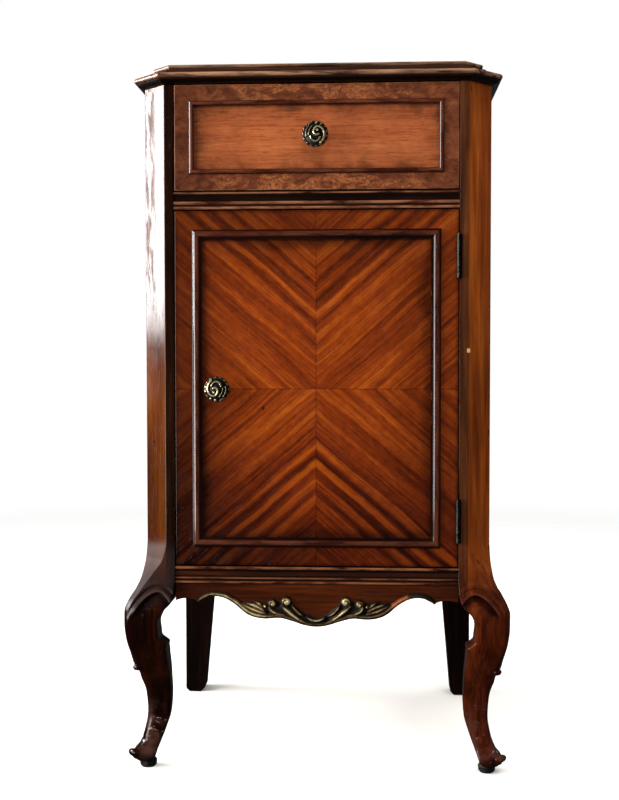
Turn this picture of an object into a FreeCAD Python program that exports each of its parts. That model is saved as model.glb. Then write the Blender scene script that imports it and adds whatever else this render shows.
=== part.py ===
import FreeCAD, Part
import math
import os
from FreeCAD import Vector

# Small bedside cabinet on cabriole front legs: one drawer above one door, canted front corners.
# All lengths are millimetres. The pieces are drawn with x = 0 on the centre line, y = 0 on the body's
# front plane (+Y towards the back) and z = 0 on the floor. save() then shifts every piece along Y, so
# that the origin lies on the floor under the middle of the whole object.

# Driving dimensions of the body
HEIGHT = 800.0
HALF_WIDTH = 197.4
DEPTH = 340.0
CANT = 26.4  # width and depth of the 45 degree cut on each front corner
POST = 36.9  # side of the square that the front post is cut from
OPENING = HALF_WIDTH - POST  # half width between the front posts
KNEE_REACH = 21.0  # how far the knee stands outside the body's side and front planes
KNOB_REACH = 24.5  # front-most point of the object, in front of the front plane
FRONT_Y = (KNOB_REACH - DEPTH) / 2

# Levels of the front, from the top down
TOP_BOARD_Z = 788.6
CORNICE_Z = 776.0
MID_RAIL_TOP = 656.2
MID_RAIL_BOTTOM = 635.4
BOTTOM_RAIL_TOP = 232.2
BOTTOM_RAIL_BOTTOM = 212.0
BODY_BOTTOM = 195.0
GAP = 1.0  # shadow gap round the drawer front and the door
EDGE_ROUND = 0.8  # softened front edges of the drawer front and the door

# Board thicknesses
SIDE_T = 14.0
BACK_T = 6.0
FLOOR_T = 11.0
DUST_T = 6.0
SHELF_T = 12.0
RAIL_DEPTH = 28.0
APRON_T = 18.0
APRON_SETBACK = 1.5

# Cornice and top board: how far their edges stand outside the body
CORNICE_NOSE = 11.8
TOP_EDGE = -9.4
CORNICE_DEPTH = 34.0  # from the body's faces inwards

# Back legs
BACK_LEG_W = 42.0
BACK_LEG_D = 35.0
BACK_FOOT_W = 25.5
BACK_FOOT_CHAMFER = 5.0

# Drawer
DRAWER_FRONT_T = 19.0
DRAWER_SIDE_T = 10.0
DRAWER_LENGTH = 300.0
DRAWER_RUN = 0.3  # clearance over the runners
DRAWER_SIDE_TOP = 752.0
DRAWER_BOTTOM_T = 4.0
DRAWER_BOTTOM_UP = 8.0  # the bottom's height above the sides' lower edges
TAIL_LENGTH = 13.0
TAIL_COUNT = 4
BEAD_W = 5.5
BEAD_H = 3.0
BEAD_INSET = 16.5  # from the drawer front's edges to the bead
BEAD_INSET_Z = 18.0
PANEL_SINK = 1.5

# Door
DOOR_T = 19.0
MOULDING_W = 11.0
MOULDING_H = 4.5
MOULDING_INSET = 19.5
MOULDING_INSET_Z = 21.5
DOOR_SINK = 2.0
KNOB_X = -110.2

# Hinges: two 48 mm butts with five knuckles, their barrels proud of the front
HINGE_LENGTH = 48.0
HINGE_LEVELS = (285.0, 582.0)
KNUCKLES = 5
KNUCKLE_R = 3.2
KNUCKLE_GAP = 0.3
LEAF_T = 1.2
LEAF_DEPTH = 15.0
PIN_R = 1.3
PIN_RUN = 0.05
SCREW_R = 1.5
SCREW_LENGTH = 11.0

# Ball catch in the door's free edge
CATCH_Z = 434.0
CATCH_R = 4.0
CATCH_LENGTH = 16.0
BALL_R = 2.5
BALL_OUT = 0.6  # how far the ball stands out of the door's edge
SPRING_R = 1.7
SPRING_WIRE = 0.25
SPRING_TURNS = 5

# Knobs and feet
KNOB_R = 14.5
KNOB_SCREW_R = 2.0
PAD_R = 10.0
PAD_H = 9.0
PAD_INSET = 4.0

DOOR_HALF = OPENING - GAP
DOOR_Z = (BOTTOM_RAIL_TOP + GAP, MID_RAIL_BOTTOM - GAP)
DRAWER_Z = (MID_RAIL_TOP + GAP, CORNICE_Z - GAP)
DRAWER_MID = sum(DRAWER_Z) / 2
DRAWER_BASE = MID_RAIL_TOP + DRAWER_RUN
INNER_SIDE = HALF_WIDTH - SIDE_T
BACK_FACE = DEPTH - BACK_T
FLOOR_TOP = BOTTOM_RAIL_TOP - 0.7
SHELF_Z = 425.0
HINGE_X = OPENING - GAP / 2
HINGE_Y = -(KNUCKLE_R + 0.35)


# ---------------------------------------------------------------- shared shapes


def save(name, *solids):
    """Writes one node: a single solid, or identical solids kept apart in one compound."""
    shape = solids[0] if len(solids) == 1 else Part.makeCompound(list(solids))
    placed = shape.copy()
    placed.translate(Vector(0, FRONT_Y, 0))
    placed.exportStep("parts/" + name + ".step")


def block(x, y, z):
    """A rectangular solid between the limits x, y and z, each a pair."""
    low = Vector(min(x), min(y), min(z))
    size = [abs(pair[1] - pair[0]) for pair in (x, y, z)]
    return Part.makeBox(size[0], size[1], size[2], low)


def eased_board(x, y, z):
    """A block with the four edges of its front face rounded."""
    board = block(x, y, z)
    front = [edge for edge in board.Edges if edge.BoundBox.YMax < min(y) + EDGE_ROUND]
    return board.makeFillet(EDGE_ROUND, front)


def polygon_prism(points, travel):
    return Part.Face(Part.makePolygon(list(points) + [points[0]])).extrude(travel)


def cylinder(radius, length, base, axis):
    return Part.makeCylinder(radius, length, base, axis)


def section(start, steps):
    """A closed face in the YZ plane, drawn as (outward, up). A step is the next corner, or a pair:
    a point on an arc and the arc's end."""
    place = lambda p: Vector(0, -p[0], p[1])
    edges = []
    here = start
    for step in steps + [start]:
        if isinstance(step[0], tuple):
            edges.append(Part.Arc(place(here), place(step[0]), place(step[1])).toShape())
            here = step[1]
        else:
            edges.append(Part.LineSegment(place(here), place(step)).toShape())
            here = step
    return Part.Face(Part.Wire(edges))


def front_bar(face, half_length):
    """A section extruded along X, centred on the middle of the front."""
    bar = face.extrude(Vector(2 * half_length, 0, 0))
    bar.translate(Vector(-half_length, 0, 0))
    return bar


def edge_bar(face, edge):
    """The same bar laid along another edge of the canted plan: front, corner or side."""
    pivot = Vector(0, HALF_WIDTH, 0)
    turn, shift = {
        "front": (0, 0),
        "corner": (45, (2 * HALF_WIDTH - CANT) / math.sqrt(2) - HALF_WIDTH),
        "side": (90, 0),
    }[edge]
    bar = front_bar(face, 2 * DEPTH)
    bar.translate(Vector(0, -shift, 0))
    bar.rotate(pivot, Vector(0, 0, 1), turn)
    return bar


def plan_corner(edge, offset):
    """Right-hand plan corners of the body's outline, offset outwards."""
    slant = HALF_WIDTH - CANT + offset * math.sqrt(2)
    if edge == "front":
        return Vector(slant - offset, -offset, 0)
    return Vector(HALF_WIDTH + offset, HALF_WIDTH + offset - slant, 0)


def mirrored(shape):
    return shape.mirror(Vector(0, 0, 0), Vector(1, 0, 0))


def pair(name, right):
    """Saves a right-hand piece and its left-hand mirror image."""
    save(name + "_right", right)
    save(name + "_left", mirrored(right))


# ---------------------------------------------------------------- top


def top_board():
    """The top board, with two reeds run round its front and side edges."""
    deep = -2 * DEPTH
    z = TOP_BOARD_Z
    edge = TOP_EDGE
    face = section(
        (deep, HEIGHT),
        [
            (edge - 1.6, HEIGHT),
            ((edge - 0.2, HEIGHT - 2.2), (edge - 1.4, HEIGHT - 4.4)),
            (edge - 1.4, HEIGHT - 5.2),
            ((edge + 4.2, z + 3.6), (edge + 4.4, z)),
            (deep, z),
        ],
    )
    board = edge_bar(face, "front")
    for edge_name in ("corner", "side"):
        bar = edge_bar(face, edge_name)
        board = board.common(bar).common(mirrored(bar))
    return board.common(block((-DEPTH, DEPTH), (-DEPTH, DEPTH), (0, HEIGHT)))


def cornice_pieces():
    """The moulded frame under the top board: rounded nose above, ovolo below, mitred at the corners."""
    nose = CORNICE_NOSE
    face = section(
        (-CORNICE_DEPTH, TOP_BOARD_Z),
        [
            (nose - 4.5, TOP_BOARD_Z - 1.4),
            ((nose, TOP_BOARD_Z - 4.4), (nose - 2.2, TOP_BOARD_Z - 7.2)),
            (nose - 3.0, TOP_BOARD_Z - 7.2),
            ((nose - 5.4, CORNICE_Z + 2.4), (1.2, CORNICE_Z)),
            (-CORNICE_DEPTH, CORNICE_Z),
        ],
    )
    outer = nose + 5
    rise = Vector(0, 0, HEIGHT)
    front_out, front_in = plan_corner("front", outer), plan_corner("front", -CORNICE_DEPTH)
    side_out, side_in = plan_corner("side", outer), plan_corner("side", -CORNICE_DEPTH)
    back_out, back_in = Vector(side_out.x, DEPTH, 0), Vector(side_in.x, DEPTH, 0)
    flip = lambda p: Vector(-p.x, p.y, p.z)
    wedge = polygon_prism([front_out, flip(front_out), flip(front_in), front_in], rise)
    save("cornice_front", edge_bar(face, "front").common(wedge))
    wedge = polygon_prism([front_out, side_out, side_in, front_in], rise)
    pair("cornice_corner", edge_bar(face, "corner").common(wedge))
    wedge = polygon_prism([side_out, back_out, back_in, side_in], rise)
    pair("cornice_side", edge_bar(face, "side").common(wedge))
    back_y = (DEPTH - CORNICE_DEPTH, DEPTH)
    save("cornice_back", block((-side_in.x, side_in.x), back_y, (CORNICE_Z, TOP_BOARD_Z)))


# ---------------------------------------------------------------- legs and posts

# Cabriole leg from the post down: level, reach of the outer faces beyond the body's planes,
# reach of the inner faces, and the cant that is left on the outer corner.
LEG_OUTLINE = (
    (262.0, 0.0, -POST, CANT),
    (240.0, 0.8, -POST, 23.0),
    (222.0, 3.0, -POST, 13.0),
    (206.0, 8.0, -POST, 6.5),
    (192.0, 15.4, -33.0, 5.0),
    (180.0, 19.8, -21.5, 4.6),
    (168.0, KNEE_REACH, -17.6, 4.6),
    (152.0, 19.6, -19.0, 4.8),
    (132.0, 14.2, -24.6, 5.4),
    (108.0, 5.6, -28.6, 6.0),
    (84.0, -1.2, -30.8, 6.2),
    (62.0, -2.4, -29.4, 6.0),
    (42.0, 0.6, -23.6, 5.6),
    (26.0, 6.4, -17.6, 5.2),
    (17.0, 13.6, -14.4, 5.0),
    (9.0, 11.6, -11.6, 5.0),
)
LEG_STEPS = 3  # sections drawn between two rows of the outline


def slope(rows, i, column):
    """Gradient of one column at row i, flat at the two ends and at turning points."""
    if i in (0, len(rows) - 1):
        return 0.0
    before = (rows[i][column] - rows[i - 1][column]) / (rows[i][0] - rows[i - 1][0])
    after = (rows[i + 1][column] - rows[i][column]) / (rows[i + 1][0] - rows[i][0])
    return 0.0 if before * after <= 0 else 2 * before * after / (before + after)


def leg_rows():
    """The outline's rows with smooth rows between them, by cubic interpolation in the level."""
    rows = [LEG_OUTLINE[0]]
    for i, (here, below) in enumerate(zip(LEG_OUTLINE, LEG_OUTLINE[1:])):
        span = below[0] - here[0]
        for step in range(1, LEG_STEPS + 1):
            t = step / LEG_STEPS
            row = [here[0] + t * span]
            for column in (1, 2, 3):
                a = slope(LEG_OUTLINE, i, column) * span
                b = slope(LEG_OUTLINE, i + 1, column) * span
                move = below[column] - here[column]
                row.append(here[column] + t * (a + t * (3 * move - 2 * a - b + t * (a + b - 2 * move))))
            rows.append(tuple(row))
    return rows


def leg_section(level, outer, inner, cant):
    """Five-sided section of the right leg: two outer faces, two inner faces and the cant between."""
    x = HALF_WIDTH
    points = [
        Vector(x + inner, -outer, level),
        Vector(x + outer - cant, -outer, level),
        Vector(x + outer, -outer + cant, level),
        Vector(x + outer, -inner, level),
        Vector(x + inner, -inner, level),
    ]
    return Part.makePolygon(points + points[:1])


def front_leg():
    """Post and cabriole leg in one piece."""
    sections = [leg_section(*row) for row in leg_rows()]
    top = leg_section(CORNICE_Z, *LEG_OUTLINE[0][1:])
    return Part.makeLoft([top] + sections, True, True)


def foot_pad():
    """Turned pad under the front foot."""
    profile = [
        Vector(0, 0, 0),
        Vector(PAD_R - 2.4, 0, 0),
        Vector(PAD_R - 0.6, 0, 2.4),
        Vector(PAD_R, 0, PAD_H - 2.0),
        Vector(PAD_R - 1.4, 0, PAD_H),
        Vector(0, 0, PAD_H),
    ]
    face = Part.Face(Part.makePolygon(profile + profile[:1]))
    pad = face.revolve(Vector(0, 0, 0), Vector(0, 0, 1), 360)
    pad.translate(Vector(HALF_WIDTH - PAD_INSET, PAD_INSET, 0))
    return pad


def back_leg():
    """Square back leg: straight outside, tapered inside below the body, chamfered at the floor."""
    x = HALF_WIDTH
    inner = x - BACK_LEG_W
    foot = x - BACK_FOOT_W
    c = BACK_FOOT_CHAMFER
    outline = [
        Vector(inner, 0, CORNICE_Z),
        Vector(x, 0, CORNICE_Z),
        Vector(x, 0, c),
        Vector(x - c, 0, 0),
        Vector(foot + c, 0, 0),
        Vector(foot, 0, c),
        Vector(inner, 0, BODY_BOTTOM),
    ]
    leg = polygon_prism(outline, Vector(0, BACK_LEG_D, 0))
    leg.translate(Vector(0, DEPTH - BACK_LEG_D, 0))
    rebate = block((inner, inner + 8), (BACK_FACE, DEPTH), (BODY_BOTTOM + 8, CORNICE_Z))
    return leg.cut(rebate)


# ---------------------------------------------------------------- body boards


def side_panel():
    return block((INNER_SIDE, HALF_WIDTH), (POST, DEPTH - BACK_LEG_D), (BODY_BOTTOM, CORNICE_Z))


def back_boards():
    half = HALF_WIDTH - BACK_LEG_W
    save(
        "back_panel",
        block((-half - 8, half + 8), (BACK_FACE, DEPTH), (BODY_BOTTOM + 8, CORNICE_Z)),
    )
    rail_y = (BACK_FACE - 18, BACK_FACE)
    save("back_rail_top", block((-half, half), rail_y, (CORNICE_Z - 22, CORNICE_Z)))
    save(
        "back_rail_bottom",
        block((-half, half), rail_y, (BODY_BOTTOM, FLOOR_TOP - FLOOR_T)),
    )


def mid_rail():
    """Rail between drawer and door: a thin reed, a hollow and two reeds."""
    z = MID_RAIL_BOTTOM
    back = -RAIL_DEPTH
    face = section(
        (back, z),
        [
            (-1.0, z),
            ((0.8, z + 2.0), (-1.0, z + 4.0)),
            (-1.0, z + 5.4),
            ((0.9, z + 7.6), (-1.0, z + 9.8)),
            ((-2.6, z + 13.0), (-1.0, z + 16.4)),
            (-1.0, z + 17.2),
            ((0.5, z + 18.6), (-1.0, z + 20.0)),
            (-1.0, MID_RAIL_TOP),
            (back, MID_RAIL_TOP),
        ],
    )
    return front_bar(face, OPENING)


def bottom_rail():
    """Rail under the door: a reed, a flat band and two reeds."""
    z = BOTTOM_RAIL_BOTTOM
    back = -RAIL_DEPTH
    face = section(
        (back, z),
        [
            (-1.0, z),
            ((0.7, z + 2.0), (-1.0, z + 3.8)),
            (-1.0, z + 5.0),
            ((0.5, z + 6.6), (-1.0, z + 8.2)),
            (-1.0, z + 9.2),
            (-0.2, z + 9.6),
            (-0.2, z + 14.0),
            (-1.4, z + 14.6),
            (-1.4, z + 16.2),
            ((1.0, z + 18.0), (-1.0, BOTTOM_RAIL_TOP)),
            (back, BOTTOM_RAIL_TOP),
        ],
    )
    return front_bar(face, OPENING)


# Lower edge of the apron, right half, from the centre to the cusp and on to the post
APRON_EDGE = (
    (0.0, 163.5),
    (12.0, 165.0),
    (26.0, 170.0),
    (41.0, 174.0),
    (60.0, 172.8),
    (76.0, 177.0),
    (92.0, 189.0),
    (106.0, 196.2),
    (120.0, 197.0),
    (133.0, 190.5),
)
APRON_BRACKET = ((145.0, 194.6), (OPENING, 192.0))


def apron_curve(lift):
    """The lower edge from cusp to cusp, as one spline, lifted by a distance."""
    right = [Vector(x, 0, z + lift) for x, z in APRON_EDGE]
    left = [Vector(-p.x, 0, p.z) for p in reversed(right[1:])]
    spline = Part.BSplineCurve()
    spline.interpolate(left + right)
    return spline.toShape()


def apron():
    """Shaped board under the bottom rail."""
    cusp = APRON_EDGE[-1]
    bend, post = APRON_BRACKET
    place = lambda x, z: Vector(x, 0, z)
    z = BOTTOM_RAIL_BOTTOM
    edges = [
        apron_curve(0),
        Part.Arc(place(*cusp), place(*bend), place(*post)).toShape(),
        Part.LineSegment(place(*post), place(OPENING, z)).toShape(),
        Part.LineSegment(place(OPENING, z), place(-OPENING, z)).toShape(),
        Part.LineSegment(place(-OPENING, z), place(-post[0], post[1])).toShape(),
        Part.Arc(
            place(-post[0], post[1]), place(-bend[0], bend[1]), place(-cusp[0], cusp[1])
        ).toShape(),
    ]
    board = Part.Face(Part.Wire(Part.__sortEdges__(edges))).extrude(Vector(0, APRON_T, 0))
    board.translate(Vector(0, APRON_SETBACK, 0))
    return board


def apron_carving():
    """Gilt carved border planted on the apron: a band along the lower edge, scrolls above it."""
    low, high = apron_curve(0), apron_curve(7.0)
    ends = [
        Part.LineSegment(low.Vertexes[i].Point, high.Vertexes[i].Point).toShape()
        for i in (0, 1)
    ]
    band = Part.Face(Part.Wire(Part.__sortEdges__([low, high] + ends)))
    relief = Vector(0, -4.5, 0)
    carving = band.extrude(relief)
    scroll_z = 189.0
    for side in (-1, 1):
        for x, radius in ((33.0, 8.0), (50.0, 7.0)):
            centre = Vector(side * x, 0, scroll_z - 2)
            foot = block(
                (centre.x - radius / 2, centre.x + radius / 2), (0, relief.y), (174, scroll_z)
            )
            disc = cylinder(radius, -relief.y, centre, Vector(0, -1, 0))
            carving = carving.fuse(disc).fuse(foot)
    carving.translate(Vector(0, APRON_SETBACK, 0))
    return carving.removeSplitter()


def inner_boards():
    """Boards inside the case: cupboard floor, shelf, dust board, runners, guides, stops and blocks."""
    back = BACK_FACE - 18
    inside = (-INNER_SIDE, INNER_SIDE)
    clear_of_legs = DEPTH - BACK_LEG_D
    floor = block(inside, (RAIL_DEPTH, back), (FLOOR_TOP - FLOOR_T, FLOOR_TOP))
    for side in (-1, 1):
        leg_x = (side * (HALF_WIDTH - BACK_LEG_W), side * HALF_WIDTH)
        floor = floor.cut(block(leg_x, (clear_of_legs, DEPTH), (0, HEIGHT)))
        post_x = (side * OPENING, side * HALF_WIDTH)
        floor = floor.cut(block(post_x, (0, POST), (0, HEIGHT)))
    save("cupboard_floor", floor)

    dust_z = (MID_RAIL_BOTTOM + 6, MID_RAIL_BOTTOM + 6 + DUST_T)
    save("dust_board", block(inside, (POST, clear_of_legs), dust_z))
    pair("drawer_runner", block((136, INNER_SIDE), (POST, clear_of_legs), (dust_z[1], MID_RAIL_TOP)))
    guide_x = (OPENING - 1.0, INNER_SIDE)
    pair("drawer_guide", block(guide_x, (POST, clear_of_legs), (MID_RAIL_TOP, MID_RAIL_TOP + 24)))
    stop_y = (DRAWER_LENGTH, clear_of_legs)
    stops = [
        block((side * 142, side * 158), stop_y, (MID_RAIL_TOP, MID_RAIL_TOP + 14))
        for side in (-1, 1)
    ]
    save("drawer_stops", *stops)

    save("shelf", block(inside, (POST, clear_of_legs), (SHELF_Z - SHELF_T, SHELF_Z)))
    battens = [
        block(
            (side * (INNER_SIDE - 12), side * INNER_SIDE),
            (POST, clear_of_legs),
            (SHELF_Z - SHELF_T - 15, SHELF_Z - SHELF_T),
        )
        for side in (-1, 1)
    ]
    save("shelf_battens", *battens)

    stop_x = (-OPENING, -OPENING + 9)
    door_stop = block(stop_x, (DOOR_T + 0.4, POST), (DOOR_Z[0] + 2, DOOR_Z[1] - 2))
    save("door_stop", door_stop)

    block_y = (APRON_SETBACK + APRON_T, APRON_SETBACK + APRON_T + 20)
    block_z = (FLOOR_TOP - FLOOR_T - 18, FLOOR_TOP - FLOOR_T)
    blocks = [block((x - 25, x + 25), block_y, block_z) for x in (-95, 0, 95)]
    blocks = [shape.cut(bottom_rail()) for shape in blocks]
    save("glue_blocks", *blocks)


# ---------------------------------------------------------------- drawer


def mitred_frame(name, half_width, z, width, profile, y):
    """Four strips mitred into a frame on the plane y. Its outline is half_width and z, and profile
    gives a strip's section as (in from the outer edge, proud) steps."""
    mid = sum(z) / 2
    half_height = (z[1] - z[0]) / 2
    spans = {
        "top": (half_width, half_height, 0),
        "right": (half_height, half_width, 90),
        "bottom": (half_width, half_height, 180),
        "left": (half_height, half_width, 270),
    }
    for place, (length, reach, turn) in spans.items():
        turned = lambda p: (p[1], reach - p[0])
        steps = [
            tuple(turned(q) for q in step) if isinstance(step[0], tuple) else turned(step)
            for step in profile[1:]
        ]
        strip = front_bar(section(turned(profile[0]), steps), length)
        corners = [
            Vector(-length, -50, reach),
            Vector(length, -50, reach),
            Vector(length - width, -50, reach - width),
            Vector(width - length, -50, reach - width),
        ]
        strip = strip.common(polygon_prism(corners, Vector(0, 100, 0)))
        strip.rotate(Vector(0, 0, 0), Vector(0, 1, 0), turn)
        strip.translate(Vector(0, y, mid))
        save(name + "_" + place, strip)


def tails(side):
    """Dovetails that join a drawer side to the front, for the right side."""
    inner, outer = OPENING - 2.5 - DRAWER_SIDE_T, OPENING - 2.5
    low, high = DRAWER_BASE + 14, DRAWER_SIDE_TOP
    pitch = (high - low) / TAIL_COUNT
    shapes = []
    for i in range(TAIL_COUNT):
        mid = low + pitch * (i + 0.5)
        root, tip = pitch * 0.28, pitch * 0.40
        front = DRAWER_FRONT_T - TAIL_LENGTH
        points = [
            Vector(inner, DRAWER_FRONT_T, mid - root),
            Vector(inner, DRAWER_FRONT_T, mid + root),
            Vector(inner, front, mid + tip),
            Vector(inner, front, mid - tip),
        ]
        shapes.append(polygon_prism(points, Vector(outer - inner, 0, 0)))
    return shapes if side > 0 else [mirrored(shape) for shape in shapes]


def drawer():
    """Drawer box: lapped dovetails in front, the back housed between the sides, a sliding bottom."""
    inner = OPENING - 2.5 - DRAWER_SIDE_T
    outer = inner + DRAWER_SIDE_T
    half = OPENING - GAP
    groove_z = (DRAWER_BASE + DRAWER_BOTTOM_UP, DRAWER_BASE + DRAWER_BOTTOM_UP + DRAWER_BOTTOM_T)
    panel_half = inner + DRAWER_SIDE_T / 2
    panel = block((-panel_half, panel_half), (DRAWER_FRONT_T - 6, DRAWER_LENGTH - 2), groove_z)
    save("drawer_bottom", panel)

    side = block((inner, outer), (DRAWER_FRONT_T, DRAWER_LENGTH), (DRAWER_BASE, DRAWER_SIDE_TOP))
    for tail in tails(1):
        side = side.fuse(tail)
    pair("drawer_side", side.removeSplitter().cut(panel))

    front = eased_board((-half, half), (0, DRAWER_FRONT_T), DRAWER_Z)
    bead_half = half - BEAD_INSET
    bead_z = (DRAWER_Z[0] + BEAD_INSET_Z, DRAWER_Z[1] - BEAD_INSET_Z)
    sunk = block(
        (BEAD_W - bead_half, bead_half - BEAD_W),
        (0, PANEL_SINK),
        (bead_z[0] + BEAD_W, bead_z[1] - BEAD_W),
    )
    knob_hole = cylinder(KNOB_SCREW_R, 30, Vector(0, 0, DRAWER_MID), Vector(0, 1, 0))
    front = front.cut(sunk).cut(panel).cut(knob_hole)
    for sign in (-1, 1):
        for tail in tails(sign):
            front = front.cut(tail)
    save("drawer_front", front)

    back_y = (DRAWER_LENGTH - 14, DRAWER_LENGTH - 4)
    save("drawer_back", block((-inner, inner), back_y, (groove_z[1], DRAWER_SIDE_TOP - 5)))
    bead = [(0.0, 0.0), (0.0, 0.8), ((BEAD_W / 2, BEAD_H), (BEAD_W, 0.8)), (BEAD_W, 0.0)]
    mitred_frame("drawer_bead", bead_half, bead_z, BEAD_W, bead, 0)
    knob("drawer", Vector(0, PANEL_SINK, DRAWER_MID), DRAWER_FRONT_T)


# ---------------------------------------------------------------- knobs


def knob(name, seat, board_t):
    """Cast knob on a short neck, drawn on by a screw from inside the board."""
    length = seat.y + KNOB_REACH
    profile = [
        Vector(0, 0, 0),
        Vector(8.0, 0, 0),
        Vector(8.0, -1.6, 0),
        Vector(5.2, -3.2, 0),
        Vector(4.8, 9.0 - length, 0),
        Vector(KNOB_R - 1.2, 7.4 - length, 0),
        Vector(KNOB_R, 5.4 - length, 0),
        Vector(KNOB_R - 0.8, 3.2 - length, 0),
        Vector(KNOB_R - 5.5, 0.8 - length, 0),
        Vector(0, -length, 0),
    ]
    face = Part.Face(Part.makePolygon(profile + profile[:1]))
    body = face.revolve(Vector(0, 0, 0), Vector(0, 1, 0), 360)
    shank = cylinder(KNOB_SCREW_R, 10, Vector(0, 0, 0), Vector(0, -1, 0))
    body = body.cut(shank)
    body.translate(seat)
    save(name + "_knob", body)
    tip = Vector(seat.x, seat.y - 10, seat.z)
    screw = cylinder(KNOB_SCREW_R, board_t - tip.y, tip, Vector(0, 1, 0))
    head = cylinder(2 * KNOB_SCREW_R, 2.2, Vector(seat.x, board_t, seat.z), Vector(0, 1, 0))
    save(name + "_knob_screw", screw.fuse(head).removeSplitter())


# ---------------------------------------------------------------- door and its hardware


def leaf_plate(side):
    """Both hinge plates of one leaf, for the door (-1) or the post (+1), without their knuckles."""
    x = (HINGE_X + side * GAP / 2, HINGE_X + side * (GAP / 2 + LEAF_T))
    half = HINGE_LENGTH / 2
    plate_y = (HINGE_Y + KNUCKLE_R + 0.35, LEAF_DEPTH)
    return [block(x, plate_y, (level - half, level + half)) for level in HINGE_LEVELS]


def leaf(side, level):
    """One hinge leaf. The post leaf has the odd knuckles and the door leaf the even ones."""
    plate = leaf_plate(side)[HINGE_LEVELS.index(level)]
    pitch = HINGE_LENGTH / KNUCKLES
    x = (HINGE_X + side * GAP / 2, HINGE_X + side * (GAP / 2 + LEAF_T))
    for i in range(0 if side > 0 else 1, KNUCKLES, 2):
        low = level - HINGE_LENGTH / 2 + i * pitch + KNUCKLE_GAP / 2
        span = (low, low + pitch - KNUCKLE_GAP)
        base = Vector(HINGE_X, HINGE_Y, span[0])
        knuckle = cylinder(KNUCKLE_R, span[1] - span[0], base, Vector(0, 0, 1))
        web = block(x, (HINGE_Y, LEAF_DEPTH / 2), span)
        plate = plate.fuse(knuckle).fuse(web)
    base = Vector(HINGE_X, HINGE_Y, level - HINGE_LENGTH)
    hole_r = PIN_R if side > 0 else PIN_R + PIN_RUN
    plate = plate.removeSplitter().cut(cylinder(hole_r, 2 * HINGE_LENGTH, base, Vector(0, 0, 1)))
    for screw in leaf_screws(side, level):
        plate = plate.cut(screw)
    return plate


def leaf_screws(side, level):
    """Three countersunk screws through one leaf, heads flush with it."""
    start = Vector(HINGE_X + side * GAP / 2, LEAF_DEPTH * 0.58, level)
    axis = Vector(side, 0, 0)
    shapes = []
    for step in (-1, 0, 1):
        base = start + Vector(0, step * 1.8, step * HINGE_LENGTH * 0.36)
        head = Part.makeCone(2 * SCREW_R, SCREW_R, LEAF_T, base, axis)
        shapes.append(head.fuse(cylinder(SCREW_R, SCREW_LENGTH, base, axis)).removeSplitter())
    return shapes


def hinges():
    for name, side in (("hinge_door_leaves", -1), ("hinge_post_leaves", 1)):
        save(name, *[leaf(side, level) for level in HINGE_LEVELS])
    for name, side in (("hinge_screws_door", -1), ("hinge_screws_post", 1)):
        save(name, *[screw for level in HINGE_LEVELS for screw in leaf_screws(side, level)])
    pins = []
    for level in HINGE_LEVELS:
        base = Vector(HINGE_X, HINGE_Y, level - HINGE_LENGTH / 2)
        pin = cylinder(PIN_R, HINGE_LENGTH, base, Vector(0, 0, 1))
        top = cylinder(2.2, 1.4, base + Vector(0, 0, HINGE_LENGTH), Vector(0, 0, 1))
        pins.append(pin.fuse(top).removeSplitter())
    save("hinge_pins", *pins)


def cut_all(shape, tools):
    for tool in tools:
        shape = shape.cut(tool)
    return shape


def hinge_room(side):
    """What the hinges take out of the wood on one side of the gap."""
    tools = leaf_plate(side)
    for level in HINGE_LEVELS:
        tools = tools + leaf_screws(side, level)
    return tools


def catch_case():
    """Outer shape of the catch's brass barrel."""
    mouth = Vector(-DOOR_HALF, DOOR_T / 2, CATCH_Z)
    return cylinder(CATCH_R, CATCH_LENGTH, mouth, Vector(1, 0, 0))


def door():
    """Flush door with a sunk panel inside a mitred moulding."""
    half = DOOR_HALF
    inset = (half - MOULDING_INSET, (DOOR_Z[0] + MOULDING_INSET_Z, DOOR_Z[1] - MOULDING_INSET_Z))
    panel = eased_board((-half, half), (0, DOOR_T), DOOR_Z)
    sunk = block(
        (MOULDING_W - inset[0], inset[0] - MOULDING_W),
        (0, DOOR_SINK),
        (inset[1][0] + MOULDING_W, inset[1][1] - MOULDING_W),
    )
    seat = Vector(KNOB_X, DOOR_SINK, sum(DOOR_Z) / 2)
    knob_hole = cylinder(KNOB_SCREW_R, 30, Vector(seat.x, 0, seat.z), Vector(0, 1, 0))
    panel = panel.cut(sunk).cut(knob_hole).cut(catch_case())
    save("door_panel", cut_all(panel, hinge_room(-1)))
    w, h = MOULDING_W, MOULDING_H
    profile = [
        (0.0, 0.0),
        (0.0, 1.2),
        ((1.6, h - 1.4), (3.6, h)),
        (4.8, h),
        ((7.6, h - 0.8), (8.6, 1.6)),
        (w, 1.0),
        (w, 0.0),
    ]
    mitred_frame("door_moulding", inset[0], inset[1], w, profile, 0)
    knob("door", seat, DOOR_T)


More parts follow.
